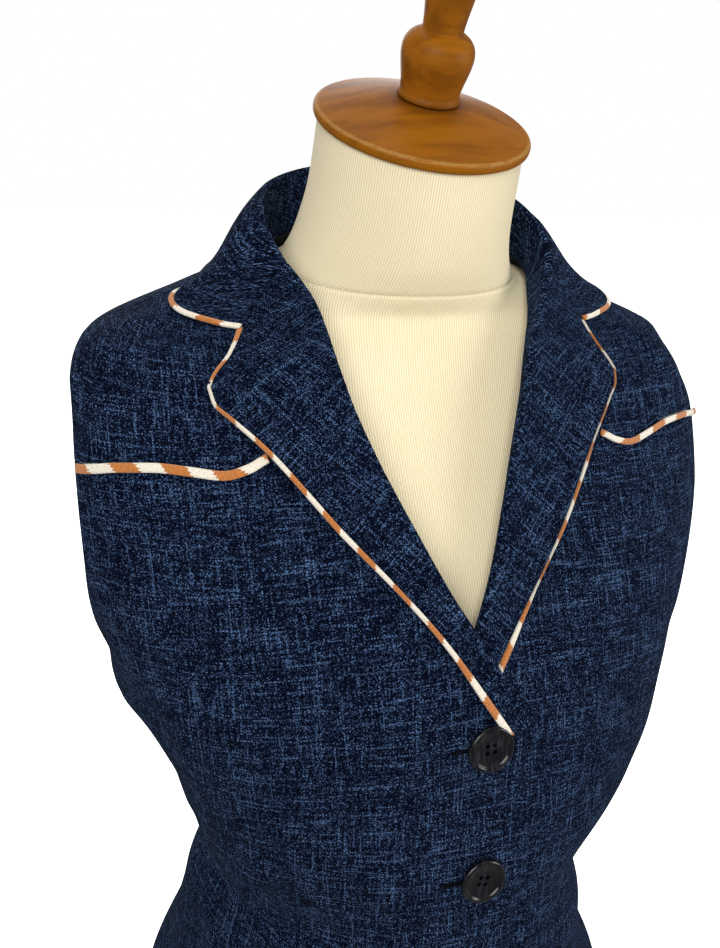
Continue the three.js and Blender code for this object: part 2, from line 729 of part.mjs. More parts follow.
function asGeometry(manifold) {
  const mesh = manifold.getMesh();
  const geometry = new THREE.BufferGeometry();
  geometry.setAttribute('position', new THREE.BufferAttribute(mesh.vertProperties, 3));
  geometry.setIndex(new THREE.BufferAttribute(mesh.triVerts, 1));
  return geometry;
}

// A four-hole button with a raised rim. Its axis is +Z, and its underside is at 0.
const BUTTON_SIDES = 20;
const BUTTON_PROFILE = table(['radius', 'height'], [
  [0, 0], [8.5, 0], [12.2, 1.4], [12.7, 2.6], [12, 3.8], [10.6, 4.2], [9.4, 3.4], [8.6, 2.6], [0, 2.4],
]);
const BUTTON_HOLE = { radius: 1, fromCentre: 3 };

function buttonGeometry() {
  const scale = BUTTON_DIAMETER / 25.4;
  const profile = BUTTON_PROFILE.map(row => new THREE.Vector2(row.radius * scale, row.height));
  let body = asManifold(new THREE.LatheGeometry(profile, BUTTON_SIDES).rotateX(Math.PI / 2));
  for (const quarter of [0, 1, 2, 3]) {
    const turn = radians(45 + 90 * quarter);
    const hole = new THREE.CylinderGeometry(BUTTON_HOLE.radius, BUTTON_HOLE.radius, 12, 8)
      .rotateX(Math.PI / 2)
      .translate(BUTTON_HOLE.fromCentre * cos(turn), BUTTON_HOLE.fromCentre * sin(turn), 0);
    body = body.subtract(asManifold(hole));
  }
  return asGeometry(body);
}

// The torso form, as rings from its underside to the top of its neck.
const FORM_SIDES = 32;
const FORM_LEVELS = [16, 24, 70, 130, 170, 210, 250, 285, 308, 335, 370, 410, 450, 490, 525, 560,
  590, 615, 632, 645, 655, 665, 673, 680, 690, 697, 705, 715, 725, 745];

function formGeometry() {
  return tube(FORM_LEVELS.map(level => {
    const section = formSection(level);
    return range(FORM_SIDES).slice(1).map(share => ringPoint(section, share * 2 * Math.PI));
  }));
}

// The neck's wooden pieces share its forward lean.
const NECK_TOP = formSection(745);
const NECK_LEAN = Math.atan2(NECK_TOP.backZ - NECK_TOP.frontZ, NECK_TOP.backY - NECK_TOP.frontY);
const NECK_CENTRE = new THREE.Vector3(0, (NECK_TOP.frontY + NECK_TOP.backY) / 2,
  (NECK_TOP.frontZ + NECK_TOP.backZ) / 2);

const CAP_PROFILE = table(['radius', 'height'], [
  [0, 0], [55.6, 0], [57, 1], [57.6, 3.4], [57.2, 6], [55, 7.8], [38, 12], [18, 15.4], [0, 15.4],
]);
const FINIAL_PROFILE = table(['radius', 'height'], [
  [0, 0], [13.8, 0], [14.6, 1.2], [14.2, 2.6], [15.4, 8], [18, 16], [19, 21.5], [18.2, 27], [14.6, 31.5],
  [10.8, 33.6], [10.5, 35], [12.4, 50], [14.4, 64], [15, 72], [12.6, 78], [7.5, 81.5], [0, 83],
]);
const BASE_PROFILE = table(['radius', 'height'], [
  [0, 0], [1.01, 0], [1.04, 0.15], [1.04, 0.85], [1.01, 1], [0, 1],
]);

function turned(rows, sides) {
  return new THREE.LatheGeometry(
    rows.map(row => new THREE.Vector2(row.radius, row.height)), sides).rotateX(Math.PI / 2);
}

// A board under the form, with the form's own outline and soft edges.
function baseGeometry() {
  const foot = formSection(FORM_LEVELS[0]);
  const thickness = FORM_LEVELS[0] - SEAM;
  return tube(BASE_PROFILE.slice(1, -1).map(({ radius, height }) =>
    range(FORM_SIDES).slice(1).map(share => {
      const point = ringPoint(foot, share * 2 * Math.PI);
      return new THREE.Vector3(point.x * radius, point.y * radius, thickness * height);
    })));
}

const vest = new THREE.Group();

function add(name, geometry, color, roughness, parent = vest) {
  const material = new THREE.MeshStandardMaterial({ color, roughness, metalness: 0 });
  const mesh = new THREE.Mesh(geometry, material);
  mesh.name = name;
  parent.add(mesh);
  return mesh;
}

const SIDES = [['left', 1], ['right', -1]];

for (const [name, side] of SIDES) {
  add(`front_${name}`, panel(side, frontGrid(side)), NAVY, 0.9);
  add(`yoke_${name}`, panel(side, yokeGrid(side)), NAVY, 0.9);
  add(`back_${name}`, panel(side, backGrid()), NAVY, 0.9);
  const middle = lapelMiddle(side);
  const lapel = thickened(middle);
  add(`lapel_${name}`, lapel.geometry, NAVY, 0.9);
  add(`lapel_piping_${name}`, lapelPiping(middle, lapel.normals), TAN, 0.85);
  add(`yoke_piping_${name}`, yokePiping(side), TAN, 0.85);
}

const collarGrid = collarMiddle();
const collar = thickened(collarGrid);
add('collar', collar.geometry, NAVY, 0.9);
add('collar_piping', collarPiping(collarGrid, collar.normals), TAN, 0.85);

// The buttons stand on the right front at the centre line.
BUTTON_LEVELS.forEach((level, i) => {
  const button = add(`button_${i + 1}`, buttonGeometry(), HORN, 0.25);
  const above = clothPoint(-1, 0, level + BUTTON_DIAMETER / 2);
  const below = clothPoint(-1, 0, level - BUTTON_DIAMETER / 2);
  const normal = new THREE.Vector3(1, 0, 0).cross(above.sub(below)).normalize();
  button.position.copy(clothPoint(-1, 0, level)).addScaledVector(normal, BUTTON_SPACE);
  button.quaternion.setFromUnitVectors(new THREE.Vector3(0, 0, 1), normal);
});

add('form_torso', formGeometry(), CREAM, 0.95);
add('form_base', baseGeometry(), WOOD, 0.4);
const neck = new THREE.Group();
neck.position.copy(NECK_CENTRE);
neck.rotation.x = NECK_LEAN;
vest.add(neck);
add('form_neck_cap', turned(CAP_PROFILE, 40), WOOD, 0.35, neck).position.z = SEAM;
const capHeight = CAP_PROFILE[CAP_PROFILE.length - 1].height;
add('form_neck_finial', turned(FINIAL_PROFILE, 20), WOOD, 0.35, neck).position.z = capHeight + 2 * SEAM;

export default vest;
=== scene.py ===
"""A piped western vest on a limbless dress form, with its stage."""
import math

import bmesh
import bpy
import numpy as np
from bpy.props import FloatProperty, FloatVectorProperty, PointerProperty
from bpy.types import Operator, Panel, PropertyGroup
from mathutils import Matrix, Vector


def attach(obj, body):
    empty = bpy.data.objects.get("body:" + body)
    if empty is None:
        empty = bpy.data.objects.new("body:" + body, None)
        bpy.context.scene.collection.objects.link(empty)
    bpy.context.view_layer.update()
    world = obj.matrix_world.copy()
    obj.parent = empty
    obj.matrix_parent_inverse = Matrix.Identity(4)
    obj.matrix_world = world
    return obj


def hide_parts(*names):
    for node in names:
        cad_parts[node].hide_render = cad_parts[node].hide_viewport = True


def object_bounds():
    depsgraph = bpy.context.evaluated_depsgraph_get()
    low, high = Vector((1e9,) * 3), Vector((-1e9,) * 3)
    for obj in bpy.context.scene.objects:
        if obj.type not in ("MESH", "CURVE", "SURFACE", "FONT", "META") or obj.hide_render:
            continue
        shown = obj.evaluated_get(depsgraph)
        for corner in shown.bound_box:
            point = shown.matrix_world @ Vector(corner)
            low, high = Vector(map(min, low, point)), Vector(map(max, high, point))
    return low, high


bl_info = {
    "name": "Western Vest on a Dress Form",
    "version": (1, 0, 0),
    "blender": (4, 5, 0),
    "location": "3D View > Sidebar > Western Vest",
    "description": "Makes a piped western vest, the dress form that wears it and a plain stage",
    "category": "Object",
}

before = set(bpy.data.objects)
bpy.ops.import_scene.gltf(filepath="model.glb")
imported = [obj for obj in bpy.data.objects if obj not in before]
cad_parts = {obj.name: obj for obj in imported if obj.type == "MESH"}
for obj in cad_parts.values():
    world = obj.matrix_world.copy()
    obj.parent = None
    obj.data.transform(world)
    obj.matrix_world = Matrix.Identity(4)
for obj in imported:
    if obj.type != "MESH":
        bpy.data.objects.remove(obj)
CAD_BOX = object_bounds()

MM = 0.001
FULL_TURN = 2 * math.pi
BODY = "root"

# The levels of the vest, as heights up its side in millimetres, as in the part's source
HEM, WAIST, BREAK, NECK = 150.0, 318.0, 452.0, 690.0
ARMHOLE_BOTTOM, SHOULDER_END, ROLL_TOP, UPPER_BACK = 468.0, 640.0, 688.0, 585.0
LAP, LAP_AT_HEM = 21.0, 38.0
SEAM, LAY, ROLL_SPACE = 0.3, 0.8, 1.0
HALF_SEAM = 0.02
BUTTON_LEVELS = (445.0, 367.5, 290.0)
BUTTON_SPACE = 0.4

# Angles round the body in degrees from the centre front
SIDE_SEAM_AT_HEM, SHOULDER_SEAM, CENTRE_BACK = 95.0, 101.0, 180.0
SIDES = (("left", 1), ("right", -1))


def unit(vectors):
    """The same vectors with length 1."""
    return vectors / np.maximum(np.linalg.norm(vectors, axis=-1, keepdims=True), 1e-12)


def smooth_step(low, high, value):
    """0 below low, 1 above high and a soft rise between them."""
    share = np.clip((value - low) / (high - low), 0, 1)
    return share * share * (3 - 2 * share)


def steady_curves(rows):
    """Smooth curves through a table that never overshoot it. The first column is the place."""
    rows = np.array(rows, float)
    at, values = rows[:, 0], rows[:, 1:]
    step = np.diff(at)[:, None]
    rise = np.diff(values, axis=0) / step
    first, second = 2 * step[1:] + step[:-1], step[1:] + 2 * step[:-1]
    same_way = rise[:-1] * rise[1:] > 0
    before = np.where(same_way, rise[:-1], 1)
    after = np.where(same_way, rise[1:], 1)
    mean = (first + second) / (first / before + second / after)
    slopes = np.concatenate([rise[:1], np.where(same_way, mean, 0), rise[-1:]])

    def curve(place):
        place = np.clip(np.asarray(place, float), at[0], at[-1])
        i = np.clip(np.searchsorted(at, place) - 1, 0, len(at) - 2)
        span = (at[i + 1] - at[i])[..., None]
        t = (place - at[i])[..., None] / span
        square, cube = t * t, t * t * t
        return ((2 * cube - 3 * square + 1) * values[i] + (cube - 2 * square + t) * span * slopes[i]
                + (3 * square - 2 * cube) * values[i + 1] + (cube - square) * span * slopes[i + 1])
    return curve


# Level rings: level, frontZ, sideZ, backZ, halfWidth, frontY, sideY, backY, frontPower, backPower
vest_section = steady_curves([
    (150, 150, 150, 150, 170, -153, -20, 112, 0.90, 0.95),
    (210, 210, 210, 210, 155, -152, -22, 104, 0.90, 0.95),
    (318, 318, 318, 318, 121, -153, -27, 80, 0.88, 1.05),
    (385, 385, 385, 385, 142, -149, -26, 86, 0.80, 1.08),
    (450, 450, 450, 450, 169, -139, -22, 96, 0.76, 1.05),
    (520, 520, 520, 520, 190, -112, -19, 105, 0.76, 0.98),
    (580, 575, 580, 585, 194, -79, -15, 104, 0.75, 0.90),
    (620, 606, 614, 623, 189, -60, -8, 96, 0.75, 0.85),
    (645, 624, 634, 645, 176, -49, -3, 84, 0.80, 0.85),
    (665, 639, 650, 667, 136, -42, 0, 70, 0.90, 0.90),
    (680, 649, 663, 683, 99, -39, 4, 60, 1.00, 1.00),
    (690, 655, 671, 692, 82, -38, 6, 54, 1.00, 1.00),
])
form_section = steady_curves([
    (16, 16, 16, 16, 146, -108, -8, 92, 1.00, 1.00),
    (24, 24, 24, 24, 151, -113, -9, 97, 1.00, 1.00),
    (130, 130, 130, 130, 160, -122, -14, 103, 1.00, 1.00),
    (210, 210, 210, 210, 146, -124, -17, 97, 0.98, 1.00),
    (318, 318, 318, 318, 114, -117, -20, 71, 0.95, 1.00),
    (385, 385, 385, 385, 130, -127, -20, 78, 0.92, 1.02),
    (450, 450, 450, 450, 152, -128, -18, 89, 0.88, 1.02),
    (520, 520, 520, 520, 166, -101, -14, 97, 0.86, 1.00),
    (580, 574, 578, 583, 172, -67, -9, 95, 0.88, 0.96),
    (620, 604, 610, 619, 169, -48, -4, 85, 0.90, 0.95),
    (645, 621, 629, 641, 163, -41, -2, 74, 0.92, 0.95),
    (665, 635, 646, 663, 133, -37, 0, 63, 0.95, 0.95),
    (680, 646, 659, 679, 97, -35, 4, 54, 1.00, 1.00),
    (690, 656, 667, 689, 74, -41, 6, 50, 1.00, 1.00),
    (705, 673, 688, 706, 62, -52, 2, 48, 1.00, 1.00),
    (725, 696, 713, 733, 57, -60, -7, 45, 1.00, 1.00),
    (745, 722.8, 743.8, 764.8, 55.5, -66.7, -14.7, 37.3, 1.00, 1.00),
])


def ring_point(section, angle):
    """A point of a level ring. angle is in degrees from the centre front."""
    turn = np.radians(angle)
    s, c = np.sin(turn), np.cos(turn)
    front_z, side_z, back_z, half, front_y, side_y, back_y, *powers = np.moveaxis(section, -1, 0)
    power = np.where(c > 0, *powers)
    reach = np.where(c > 0, front_y, back_y)
    return np.stack([
        half * np.sign(s) * np.abs(s) ** power,
        side_y + (reach - side_y) * np.abs(c) ** power,
        side_z + (front_z - back_z) / 2 * c + ((front_z + back_z) / 2 - side_z) * c * c], -1)


def body_point(angle, level):
    """A point of the vest's plain outer form."""
    return ring_point(vest_section(level), angle)


def body_normal(angle, level):
    """The outward normal of the vest's rings."""
    top = np.minimum(level + 1, NECK)
    across = body_point(angle + 0.5, level) - body_point(angle - 0.5, level)
    return unit(np.cross(across, body_point(angle, top) - body_point(angle, top - 2)))


def angle_at(x, level):
    """The angle at which the vest's front is x to the side of the centre."""
    section = vest_section(level)
    share = np.minimum(1, np.abs(x) / section[..., 3]) ** (1 / section[..., 7])
    return np.degrees(np.sign(x) * np.arcsin(share))


roll_line = steady_curves([  # level, left, right, lift
    (452, -21, -21, 0), (490, -3, 2, 2.5), (515, 9, 18, 4), (545, 22, 33, 5), (570, 32, 42, 6),
    (622, 50, 56, 6), (650, 58, 61, 5), (674, 66, 66, 4), (688, 73, 73, 2), (690, 82, 82, 0)])
overlap = steady_curves([(150, 3.2), (415, 3.2), (455, 8.5), (535, 8.5), (580, 3), (620, 0)])
ROLL_FADE, FRONT_EDGE_LIFT = 30.0, 1.4
# How far from the centre the lap fades out, and how wide and high the lift of the front's edge fades
LAP_FADE, EDGE_WIDTH, EDGE_FADE = (30, 85), 9, 40

# Creases that the source has too: angle, level, rise, depth, halfLength, halfHeight
CREASES = ((62, 322, -0.55, 5, 34, 20), (74, 352, -0.35, -4, 34, 26), (34, 268, 0.20, -3, 26, 30))

# Finer creases, in rows of angle, level, direction, depth, half length, half height and
# bend. A negative angle is on the wearer's right. direction is in degrees from level, depth is positive
# for a trough, bend curves the crease, and all but the angles are in mm.
FINE_CREASES = (
    (-66, 330, 24, 3.6, 50, 5.5, 6), (-70, 341, 20, -3.2, 44, 8, 5), (-48, 318, 9, 1.6, 40, 6, -4),
    (-80, 312, 30, 2.0, 26, 5, 3), (-38, 300, -6, -1.4, 46, 11, 5), (-84, 356, 44, 1.3, 26, 7, 0),
    (-26, 333, 4, 0.9, 34, 7, 4), (-58, 290, -24, 1.3, 34, 8, 5), (-72, 270, -38, -1.5, 40, 13, 0),
    (-20, 404, 62, 0.8, 30, 8, 0), (-68, 432, 70, 1.2, 44, 12, 8), (-83, 470, 64, 1.4, 26, 7, -3),
    (-52, 480, 40, 0.8, 34, 10, 4), (-40, 556, 8, 0.7, 28, 8, 3), (-60, 540, -28, 0.9, 26, 7, 3),
    (64, 326, -22, 2.4, 44, 6, -5), (73, 338, -26, -2.2, 36, 8, 4), (50, 309, -8, 1.5, 42, 7, 5),
    (82, 318, -34, 1.7, 24, 5, 0), (40, 290, 6, -1.3, 44, 12, -4), (62, 276, 26, 1.4, 36, 8, 4),
    (30, 332, -3, 0.9, 30, 7, 2), (70, 425, -66, 1.1, 40, 11, -6), (84, 463, -62, 1.3, 26, 7, 3),
    (54, 470, -42, 0.8, 36, 10, 3), (58, 548, 24, 0.8, 26, 8, -3), (24, 395, -58, 0.6, 28, 8, 0),
    (-112, 322, 14, 1.9, 42, 7, -5), (-128, 334, 6, -1.5, 46, 9, 3), (-150, 312, -8, 1.4, 44, 8, 4),
    (-166, 338, 4, 1.1, 36, 8, 0), (-138, 290, 20, 1.2, 40, 9, 5), (-118, 430, 66, 1.1, 40, 11, 4),
    (-152, 520, 30, 0.9, 42, 12, 5), (-128, 566, -34, 1.0, 28, 8, 3),
    (110, 318, -12, 1.8, 40, 7, 4), (126, 330, -4, -1.6, 48, 9, -3), (147, 320, 10, 1.3, 46, 8, -4),
    (168, 306, -6, 1.2, 38, 9, 3), (136, 286, -22, 1.2, 38, 10, -4), (120, 438, -62, 1.0, 42, 10, 5),
    (156, 508, -26, 0.8, 44, 13, 4), (131, 560, 30, 1.0, 26, 8, 3), (174, 585, 5, 0.9, 40, 9, -4),
    # Broad swells and hollows of the worn cloth
    (66, 402, 0, -7, 60, 34, 0), (68, 330, 4, 4.5, 44, 13, 0), (70, 268, 0, 4.5, 60, 40, 0),
    (-104, 290, 0, -6.5, 50, 26, 0), (-78, 600, 0, 3, 26, 40, 0), (80, 630, 0, 5, 26, 24, 0),
    (50, 642, 82, 1.6, 20, 4.5, 0), (57, 640, 82, -1.2, 20, 6, 0), (9.5, 300, 89, 2.2, 110, 5, 4),
    (-104, 402, 0, 4.5, 40, 20, 0), (-88, 446, 0, -5, 24, 15, 0), (78, 535, 0, -4, 26, 42, 0),
    (-104, 228, 0, 5, 50, 22, 0), (70, 222, 0, 4, 60, 24, 0),
    (64, 336, 0, 7.5, 40, 9, 0), (70, 246, 0, 4.5, 60, 44, 0), (69, 372, 0, -2.5, 40, 16, 0),
)
MM_PER_DEGREE = 2.4


def crease_depth(angle, level):
    """How deep the creases are at a place. Ridges are negative."""
    near = np.abs(angle)
    total = np.zeros(np.broadcast(angle, level).shape)
    for at, height, rise, depth, half_length, half_height in CREASES:
        along = (near - at) / half_length
        off = (level - height - rise * (near - at)) / half_height
        total = total + depth * np.exp(-along * along - off * off)
    amount = bpy.context.scene.vest_sizes.crease_amount
    for at, height, direction, depth, half_length, half_height, bend in FINE_CREASES:
        turn = math.radians(direction)
        x, y = (angle - at) * MM_PER_DEGREE, level - height
        along = (x * math.cos(turn) + y * math.sin(turn)) / half_length
        off = (y * math.cos(turn) - x * math.sin(turn) - bend * along * along) / half_height
        trough = (1 - 0.45 * off * off) * np.exp(-0.8 * off * off)
        total = total + amount * depth * np.exp(-along * along) * trough
    return total


def roll_x(side, level):
    """How far from the centre a side's roll line runs."""
    return roll_line(level)[..., 0 if side > 0 else 1]


def lap_width(level):
    """How far a front reaches past the centre below the break."""
    spread = np.clip((BREAK - level) / (BREAK - HEM), 0, 1)
    return LAP + (LAP_AT_HEM - LAP) * (1 - (1 - spread) ** 2)


def cloth_point(side, own, level, height=0.0):
    """A point at a height over the cloth's outer face. own is the angle to the piece's own side."""
    own, level = np.broadcast_arrays(np.asarray(own, float), np.asarray(level, float))
    angle = side * own
    section = vest_section(level)
    x = section[..., 3] * np.sign(own) * np.abs(np.sin(np.radians(own))) ** section[..., 7]
    away = np.maximum(0, x - roll_x(side, level))
    roll_rise = roll_line(level)[..., 2] * np.exp(-away / ROLL_FADE)
    rise = np.where((level < BREAK) | (own > 90), 0, roll_rise)
    over = 0
    if side < 0:
        near_edge = smooth_step(EDGE_WIDTH, 0, x + lap_width(level))
        edge = FRONT_EDGE_LIFT * near_edge * smooth_step(BREAK, BREAK - EDGE_FADE, level)
        over = np.where(own < 90, overlap(level)[..., 0] * (1 - smooth_step(*LAP_FADE, x)) + edge, 0)
    lift = rise + over - crease_depth(angle, level)
    return ring_point(section, angle) + body_normal(angle, level) * (lift + height)[..., None]


def filled(lower, upper, inner, outer, across, along):
    """Places between four borders. Each border takes shares from 0 to 1 and gives (angle, level)."""
    s, t = across[None, :, None], along[:, None, None]
    low, high = lower(across)[None], upper(across)[None]
    near, far = inner(along)[:, None], outer(along)[:, None]
    square = ((low[:, :1] * (1 - s) + low[:, -1:] * s) * (1 - t)
              + (high[:, :1] * (1 - s) + high[:, -1:] * s) * t)
    return near * (1 - s) + far * s + low * (1 - t) + high * t - square


def place(angle, level):
    """A pair of an angle and a level, or an array of pairs."""
    return np.stack(np.broadcast_arrays(np.asarray(angle, float), np.asarray(level, float)), -1)


def in_runs(share, first, run, next_run):
    """One run up to the share first, and then the next one."""
    early = run(np.minimum(share / first, 1))
    late = next_run(np.clip((share - first) / (1 - first), 0, 1))
    return np.where((share <= first)[..., None], early, late)


def shares(length, count, edge=1.1):
    """Shares of a length in mm, with close ones in its last millimetre for a rounded edge."""
    close = np.array([0, 0.08, 0.3, 0.62]) * edge / length
    middle = np.linspace(edge / length, 1 - edge / length, count)
    return np.concatenate([close, middle, 1 - close[::-1]])


def seam_angle(level):
    """Half a seam's space as an angle."""
    return np.degrees(HALF_SEAM / (0.9 * vest_section(level)[..., 3]))


# The armhole is an oval in angle and level
ARMHOLE_FORWARD, ARMHOLE_BACKWARD = 25.0, 21.0
ARMHOLE_LEVEL = (ARMHOLE_BOTTOM + SHOULDER_END) / 2
ARMHOLE_HALF = (SHOULDER_END - ARMHOLE_BOTTOM) / 2


def armhole_place(turn, reach):
    """A place of the armhole's oval. turn is in degrees from its back, and a negative reach is its front."""
    turn = np.radians(turn)
    return place(SHOULDER_SEAM + reach * np.cos(turn), ARMHOLE_LEVEL + ARMHOLE_HALF * np.sin(turn))


# The level at which each side's yoke seam meets the armhole, and the table's own last place
YOKE_END_LEVEL = {1: 587.5, -1: 580.0}
YOKE_LAST_X, YOKE_LAST_LEVEL = 190.0, 580
YOKE_STEPS, YOKE_END_STEPS = 8, 0.7
yoke_line = steady_curves([  # step, x, level
    (0, 47, 598), (1, 70, 600), (2, 97, 594), (3, 109, 587.5), (4, 120, 584.5), (5, 135, 586.5),
    (6, 150, 588), (7, 168, 586.5), (8, 190, 580)])
YOKE_INNER_X, YOKE_INNER_LEVEL = 47, 598.0


def yoke_turn(side):
    """Where the yoke seam meets the oval of the armhole, in degrees."""
    return math.degrees(math.asin((YOKE_END_LEVEL[side] - ARMHOLE_LEVEL) / ARMHOLE_HALF))


def yoke_seam(side, share, gap):
    """The yoke seam from the roll line to the armhole."""
    step = share * YOKE_STEPS
    x, level = np.moveaxis(yoke_line(step), -1, 0)
    level = level + (YOKE_END_LEVEL[side] - YOKE_LAST_LEVEL) * smooth_step(3, YOKE_STEPS, step)
    start = roll_x(side, YOKE_INNER_LEVEL) - YOKE_INNER_X
    x = x + start * np.clip(1 - step / YOKE_END_STEPS, 0, 1)
    last_angle = armhole_place(yoke_turn(side), -ARMHOLE_FORWARD)[0]
    end = last_angle - angle_at(YOKE_LAST_X, YOKE_END_LEVEL[side])
    angle = angle_at(x, level) + end * np.clip((step - YOKE_STEPS) / YOKE_END_STEPS + 1, 0, 1)
    return place(np.minimum(angle, last_angle), level + gap)


# Shares of a panel's border at which its first run ends
FRONT_EDGE_RUN, FRONT_SIDE_RUN, YOKE_EDGE_RUN = 12 / 18, 13 / 18, 0.75
BACK_SIDE_RUN, BACK_NECK_RUN = 13 / 21, 6 / 17


def side_seam(share, way):
    """way is -1 on the front's edge of the seam and 1 on the back's."""
    level = HEM + (ARMHOLE_BOTTOM - HEM) * share
    angle = SIDE_SEAM_AT_HEM + (SHOULDER_SEAM - SIDE_SEAM_AT_HEM) * share
    return place(angle + way * seam_angle(level), level)


def shoulder_seam(share, way):
    """The shoulder seam from the neck to the armhole."""
    level = NECK + (SHOULDER_END - NECK) * share
    return place(SHOULDER_SEAM + way * seam_angle(level), level)


def front_edge(side, level):
    """A front's edge: the lap below the break and the roll line above it."""
    return place(angle_at(np.where(level <= BREAK, -lap_width(level), roll_x(side, level)), level), level)


def front_places(side, across, along):
    top = YOKE_INNER_LEVEL - HALF_SEAM

    def edge(t):
        return in_runs(t, FRONT_EDGE_RUN, lambda k: front_edge(side, HEM + (BREAK - HEM) * k),
                       lambda k: front_edge(side, BREAK + (top - BREAK) * k))

    def upper(k):
        spot = armhole_place(-90 + (yoke_turn(side) + 90) * k, -ARMHOLE_FORWARD)
        return spot - place(seam_angle(spot[..., 1]) * (1 - k) ** 6, HALF_SEAM * k ** 6)
    first, last = front_edge(side, np.array(HEM)), side_seam(np.array(0.0), -1)
    return filled(lambda s: first + (last - first) * s[:, None],
                  lambda s: yoke_seam(side, s, -HALF_SEAM), edge,
                  lambda t: in_runs(t, FRONT_SIDE_RUN, lambda k: side_seam(k, -1), upper), across, along)


def yoke_places(side, across, along):
    low = YOKE_INNER_LEVEL + HALF_SEAM
    roll_end = front_edge(side, np.array(ROLL_TOP))
    neck_end = shoulder_seam(np.array(0.0), -1)

    def armhole(k):
        spot = armhole_place(yoke_turn(side) * (1 - k) + 90 * k, -ARMHOLE_FORWARD)
        return spot + place(-seam_angle(spot[..., 1]) * k ** 6, HALF_SEAM * (1 - k) ** 6)
    return filled(lambda s: yoke_seam(side, s, HALF_SEAM), lambda s: shoulder_seam(s, -1),
                  lambda t: in_runs(t, YOKE_EDGE_RUN, lambda k: front_edge(side, low + (ROLL_TOP - low) * k),
                                    lambda k: roll_end + (neck_end - roll_end) * k[..., None]),
                  armhole, across, along)


def back_places(side, across, along):
    centre = CENTRE_BACK - math.degrees(HALF_SEAM / 80)
    shoulder, foot = shoulder_seam(np.array(0.0), 1)[0], side_seam(np.array(0.0), 1)[0]

    def armhole(k):
        spot = armhole_place(-90 + 180 * k, ARMHOLE_BACKWARD)
        return spot + place(seam_angle(spot[..., 1]) * np.abs(1 - 2 * k) ** 6, 0)
    return filled(
        lambda s: place(centre + (foot - centre) * s, HEM),
        lambda s: in_runs(s, BACK_NECK_RUN, lambda k: place(centre + (shoulder - centre) * k, NECK),
                          lambda k: shoulder_seam(k, 1)),
        lambda t: in_runs(t, BACK_SIDE_RUN, lambda k: place(centre, HEM + (UPPER_BACK - HEM) * k),
                          lambda k: place(centre, UPPER_BACK + (NECK - UPPER_BACK) * k)),
        lambda t: in_runs(t, BACK_SIDE_RUN, lambda k: side_seam(k, 1), armhole), across, along)


# Lapel rows: step, rollLevel, edgeX, edgeLevel, stand, uneven
lapel_row = steady_curves([
    (0, 453, -14, 449, 2.8, 0), (1, 503, 20, 496, 2.9, 0), (2, 565, 67, 554, 3.2, 0),
    (3, 615, 95, 594, 4.5, 1), (4, 648, 109, 612.5, 7, 3), (5, 672, 116, 622, 11, 4),
    (6, 688, 117.5, 630.5, 17, 4)])
lapel_top = steady_curves([  # share, x, level, uneven
    (0, 73, 688, 0), (0.275, 86, 677.5, 0), (0.55, 98.5, 665.5, 0.5), (0.75, 107.5, 649, 2),
    (0.9, 114.5, 638, 3.5), (1, 117.5, 630.5, 4)])
LAPEL_STEPS, NOTCH_SHARE, GORGE_WIDTH, ROLL_CURVE, LAPEL_LIFT = 6, 0.55, 42.0, 1.5, 2.0


def gorge_place(side, share):
    x, level, uneven = np.moveaxis(lapel_top(share), -1, 0)
    return place(angle_at(x - side * uneven, level), level)


def lapel_places(side, across, along):
    def roll(t):
        level = lapel_row(t * LAPEL_STEPS)[..., 0]
        return place(angle_at(roll_x(side, level), level), level)

    def edge(t):
        row = lapel_row(t * LAPEL_STEPS)
        return place(angle_at(row[..., 1] - side * row[..., 4], row[..., 2]), row[..., 2])
    first, last = roll(np.array(0.0)), edge(np.array(0.0))
    return filled(lambda s: first + (last - first) * s[:, None], lambda s: gorge_place(side, s),
                  roll, edge, across, along)


def rounded(points, passes=2):
    """Cuts the corners of lines of points, and keeps their ends. The points run on axis -2."""
    for _ in range(passes):
        a, b = points[..., :-1, :], points[..., 1:, :]
        cut = np.stack([a * 0.75 + b * 0.25, a * 0.25 + b * 0.75], -2)
        cut = cut.reshape(*a.shape[:-2], -1, a.shape[-1])
        points = np.concatenate([points[..., :1, :], cut[..., 1:-1, :], points[..., -1:, :]], -2)
    return points


def rolled(side, places, stand, width, lying, upright, thickness, edge_lift):
    """The middle of a rolled piece: up past the panel's edge, over the roll and down the cloth."""
    angle, level = places[..., 0], places[..., 1]
    points = cloth_point(side, angle, level)
    normals = body_normal(side * angle, level)
    base, first = points[:, 0], normals[:, 0]
    along = np.gradient(base, axis=0)
    up = unit(first * (1 - upright)[:, None] + np.array([0, 0, 1.0]) * upright[:, None])
    inward = unit(np.cross(up, along) * side)
    aside = ROLL_SPACE + thickness / 2

    def at(out, height):
        return base + inward * out + up * np.asarray(height)[..., None]
    start = at(aside, np.zeros(len(base))) - first * thickness / 2
    steps = np.linalg.norm(np.diff(points, axis=1), axis=-1)
    travelled = np.concatenate([np.zeros((len(base), 1)), np.cumsum(steps, 1)], 1)
    left = np.maximum(0, 1 - travelled / width[:, None])
    outer = travelled / travelled[:, -1:]
    height = (lying[:, None] + (stand - lying)[:, None] * left ** ROLL_CURVE
              + edge_lift[:, None] * outer ** 2)
    lean = unit(normals * (1 - left * left)[..., None] + up[:, None] * (left * left)[..., None])
    falling = points + lean * height[..., None]
    wall_top, shoulder = at(aside, stand - 1.5), at(aside * 0.7, stand - 0.4)
    stem = [start + (wall_top - start) * share for share in (0, 0.04, 0.3, 0.6, 0.85, 1)]
    fold = np.stack([*stem, shoulder, falling[:, 0], falling[:, 1]], 1)
    return np.concatenate([rounded(fold), falling[:, 2:]], 1)


